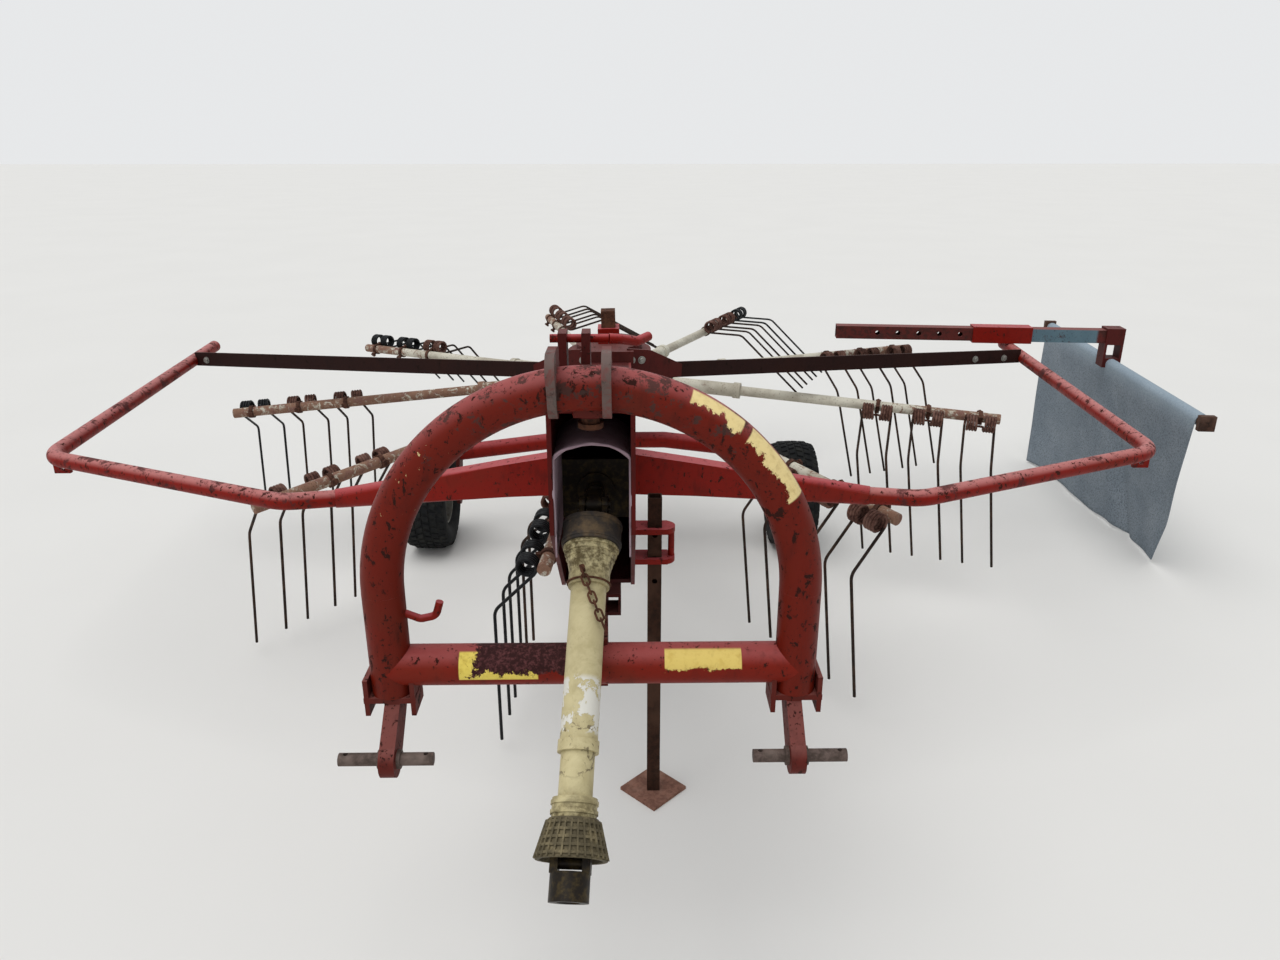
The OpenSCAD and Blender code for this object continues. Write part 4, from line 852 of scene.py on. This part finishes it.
# Curtain, in metres: its bar's place from the sleeve, how the cloth wraps it, its hem and its grid
SLEEVE_AT = at(1535, 300, 0)
BAR_OUT = 0.426
BAR_FRONT = 0.790
BAR_Z = 0.632
WRAP_R = 0.0195
LAP_OUT = 0.004
HEM_DROP = 0.007
HEM_WAVE = 0.003
THICKNESS = 0.003
COLUMNS = 96
HUNG_ROWS = 44
ROLLED_ROWS = 10


def make_curtain():
    """Cloth laid over the bar and hung on the rotor's side of it, with one sharp crease."""
    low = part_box("curtain")[0]
    across = Vector((-CARRIER_DIR.y, CARRIER_DIR.x, 0))
    front = SLEEVE_AT + CARRIER_DIR * BAR_OUT - across * BAR_FRONT
    top_l = 1.480
    low_l = 1.100
    shift = 0.090
    lap = 0.036
    low_z = low.z - HEM_DROP
    rng = random.Random(7)
    sway_phase, ripple_phase, _, hem_phase = (rng.uniform(0, 6.28) for _ in range(4))

    def along_at(u, v):
        """Distance along the bar: the lower edge is shorter and set back."""
        start = v * (top_l - shift - low_l)
        end = top_l - v * shift
        return start + u * (end - start)

    def placed(along, out, z):
        """A point of the cloth: along the bar, out from the rotor past the bar, and its height."""
        return front + across * along + CARRIER_DIR * out + Vector((0, 0, z - front.z))

    def rolled_spot(u, k):
        """Round the bar: down its outer side at k = 0, over the top, to the rotor's side."""
        turn = math.pi * (k - 1) / (ROLLED_ROWS - 1)
        if k == 0:
            return placed(along_at(u, 0), WRAP_R + LAP_OUT, BAR_Z - lap)
        return placed(along_at(u, 0), WRAP_R * math.cos(turn), BAR_Z + WRAP_R * math.sin(turn))

    def hung_spot(u, v):
        """u runs along the bar from the front, v from the bar down."""
        along = along_at(u, v)
        t = along / top_l
        # Folds and crease grow downwards, and the crease slants
        grow = min(1, v * 1.4) ** 1.2
        sway = (0.022 * math.sin(t * 3 * math.pi) + 0.009 * math.sin(t * 15 + sway_phase)
                + 0.003 * math.sin(t * 41 + 2.1 * v + ripple_phase))
        fold = t - 0.44 + 0.08 * v
        crease = 0.030 * math.exp(-abs(fold) / 0.030) - 0.012 * math.exp(-((fold - 0.06) / 0.03) ** 2)
        # The lower edge stands out from the bar at its front end and in under it at its rear end
        turned = min(1, max(0, (t - 0.45) / 0.5))
        skew = v * (0.075 - 0.125 * turned * turned * (3 - 2 * turned))
        z = BAR_Z + (low_z - BAR_Z) * v
        if v > 0.98:
            z += HEM_WAVE * (1 + math.sin(t * 31 + hem_phase))
        return placed(along, -WRAP_R + (0.012 + sway + crease) * grow + skew, z)

    places = range(COLUMNS + 1)
    points = [rolled_spot(i / COLUMNS, k) for k in range(ROLLED_ROWS) for i in places]
    points += [hung_spot(i / COLUMNS, k / HUNG_ROWS) for k in range(HUNG_ROWS + 1) for i in places]
    faces = []
    for k in range(ROLLED_ROWS + HUNG_ROWS):
        for i in range(COLUMNS):
            a = k * (COLUMNS + 1) + i
            faces.append((a, a + 1, a + COLUMNS + 2, a + COLUMNS + 1))
    made = add_mesh("curtain_cloth", points, faces, "cloth", "curtain_carrier")
    solid = made.modifiers.new("thickness", "SOLIDIFY")
    solid.thickness = THICKNESS
    solid.offset = 0
    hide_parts("curtain")


# Stage, light, camera
FLOOR_HALF = 40
# Colour and strength of the light all round and of the backdrop
LIT = ((0.92, 0.96, 1.0, 1), 0.5)
SEEN = ((0.80, 0.81, 0.82, 1), 1.0)
# Suns: name, direction towards them, strength and width in degrees
SUNS = (("sky_light", (-0.25, -0.15, 1.0), 1.7, 55), ("front_fill", (-0.5, -1.0, 0.7), 0.35, 60))
CAMERA_AT = at(58, -3336, 1500)
HEADING = math.radians(0.87)
PITCH = math.radians(20.66)
SENSOR = 36
# Focal length and width of the photo, in its pixels
FOCAL = 936
PHOTO_WIDTH = 1280


def make_floor():
    """Pale ground under the machine."""
    corners = [(FLOOR_HALF * u, FLOOR_HALF * v, 0) for u, v in ((-1, -1), (1, -1), (1, 1), (-1, 1))]
    ground = bpy.data.meshes.new("floor")
    ground.from_pydata(corners, [], [(0, 1, 2, 3)])
    floor = bpy.data.objects.new("floor", ground)
    bpy.context.scene.collection.objects.link(floor)
    g = Graph("floor_pale")
    tone = g.mix(g.noise(900, 3, 0.5), srgb("#dedcd8"), srgb("#e3e1dd"))
    ground.materials.append(g.finish(tone, 0.9))


def background(tree, colour, strength):
    """Even light of one colour."""
    made = tree.nodes.new("ShaderNodeBackground")
    made.inputs["Color"].default_value = colour
    made.inputs["Strength"].default_value = strength
    return made.outputs[0]


def make_world():
    """Soft light all round; the camera, reflections and clear parts see the backdrop instead."""
    world = bpy.data.worlds.new("soft_studio")
    world.use_nodes = True
    tree = world.node_tree
    tree.nodes.clear()
    rays = tree.nodes.new("ShaderNodeLightPath")
    backdrop = rays.outputs["Is Camera Ray"]
    for kind in ("Is Glossy Ray", "Is Transmission Ray"):
        both = tree.nodes.new("ShaderNodeMath")
        both.operation = "MAXIMUM"
        tree.links.new(backdrop, both.inputs[0])
        tree.links.new(rays.outputs[kind], both.inputs[1])
        backdrop = both.outputs[0]
    swap = tree.nodes.new("ShaderNodeMixShader")
    for i, source in enumerate((backdrop, background(tree, *LIT), background(tree, *SEEN))):
        tree.links.new(source, swap.inputs[i])
    out = tree.nodes.new("ShaderNodeOutputWorld")
    tree.links.new(swap.outputs[0], out.inputs["Surface"])
    bpy.context.scene.world = world


def make_suns():
    """Two wide suns for the soft shadows."""
    for name, aim, strength, width in SUNS:
        lamp = bpy.data.lights.new(name, "SUN")
        lamp.energy = strength
        lamp.angle = math.radians(width)
        light = bpy.data.objects.new(name, lamp)
        light.rotation_euler = Vector(aim).to_track_quat("Z", "Y").to_euler()
        bpy.context.scene.collection.objects.link(light)


def make_camera():
    """The photo's camera."""
    data = bpy.data.cameras.new("camera")
    data.sensor_width = SENSOR
    data.lens = SENSOR * FOCAL / PHOTO_WIDTH
    camera = bpy.data.objects.new("camera", data)
    camera.location = CAMERA_AT
    level = math.cos(PITCH)
    look = Vector((math.sin(HEADING) * level, math.cos(HEADING) * level, -math.sin(PITCH)))
    camera.rotation_euler = look.to_track_quat("-Z", "Y").to_euler()
    bpy.context.scene.collection.objects.link(camera)
    bpy.context.scene.camera = camera


# The whole scene
make_tines()
make_brace_bolts()
make_clamp_nuts()
make_cone_fins()
make_ring_clamp()
make_wheel_bolts(-1, "wheel_left", "wheel_left_spin")
make_wheel_bolts(1, "wheel_right", "wheel_right_spin")
make_hood_lip()
make_tyre("tyre_left", "wheel_left", "wheel_left_spin")
make_tyre("tyre_right", "wheel_right", "wheel_right_spin")
make_curtain()
make_floor()
make_world()
make_suns()
bpy.context.scene.view_settings.view_transform = "Standard"
make_camera()
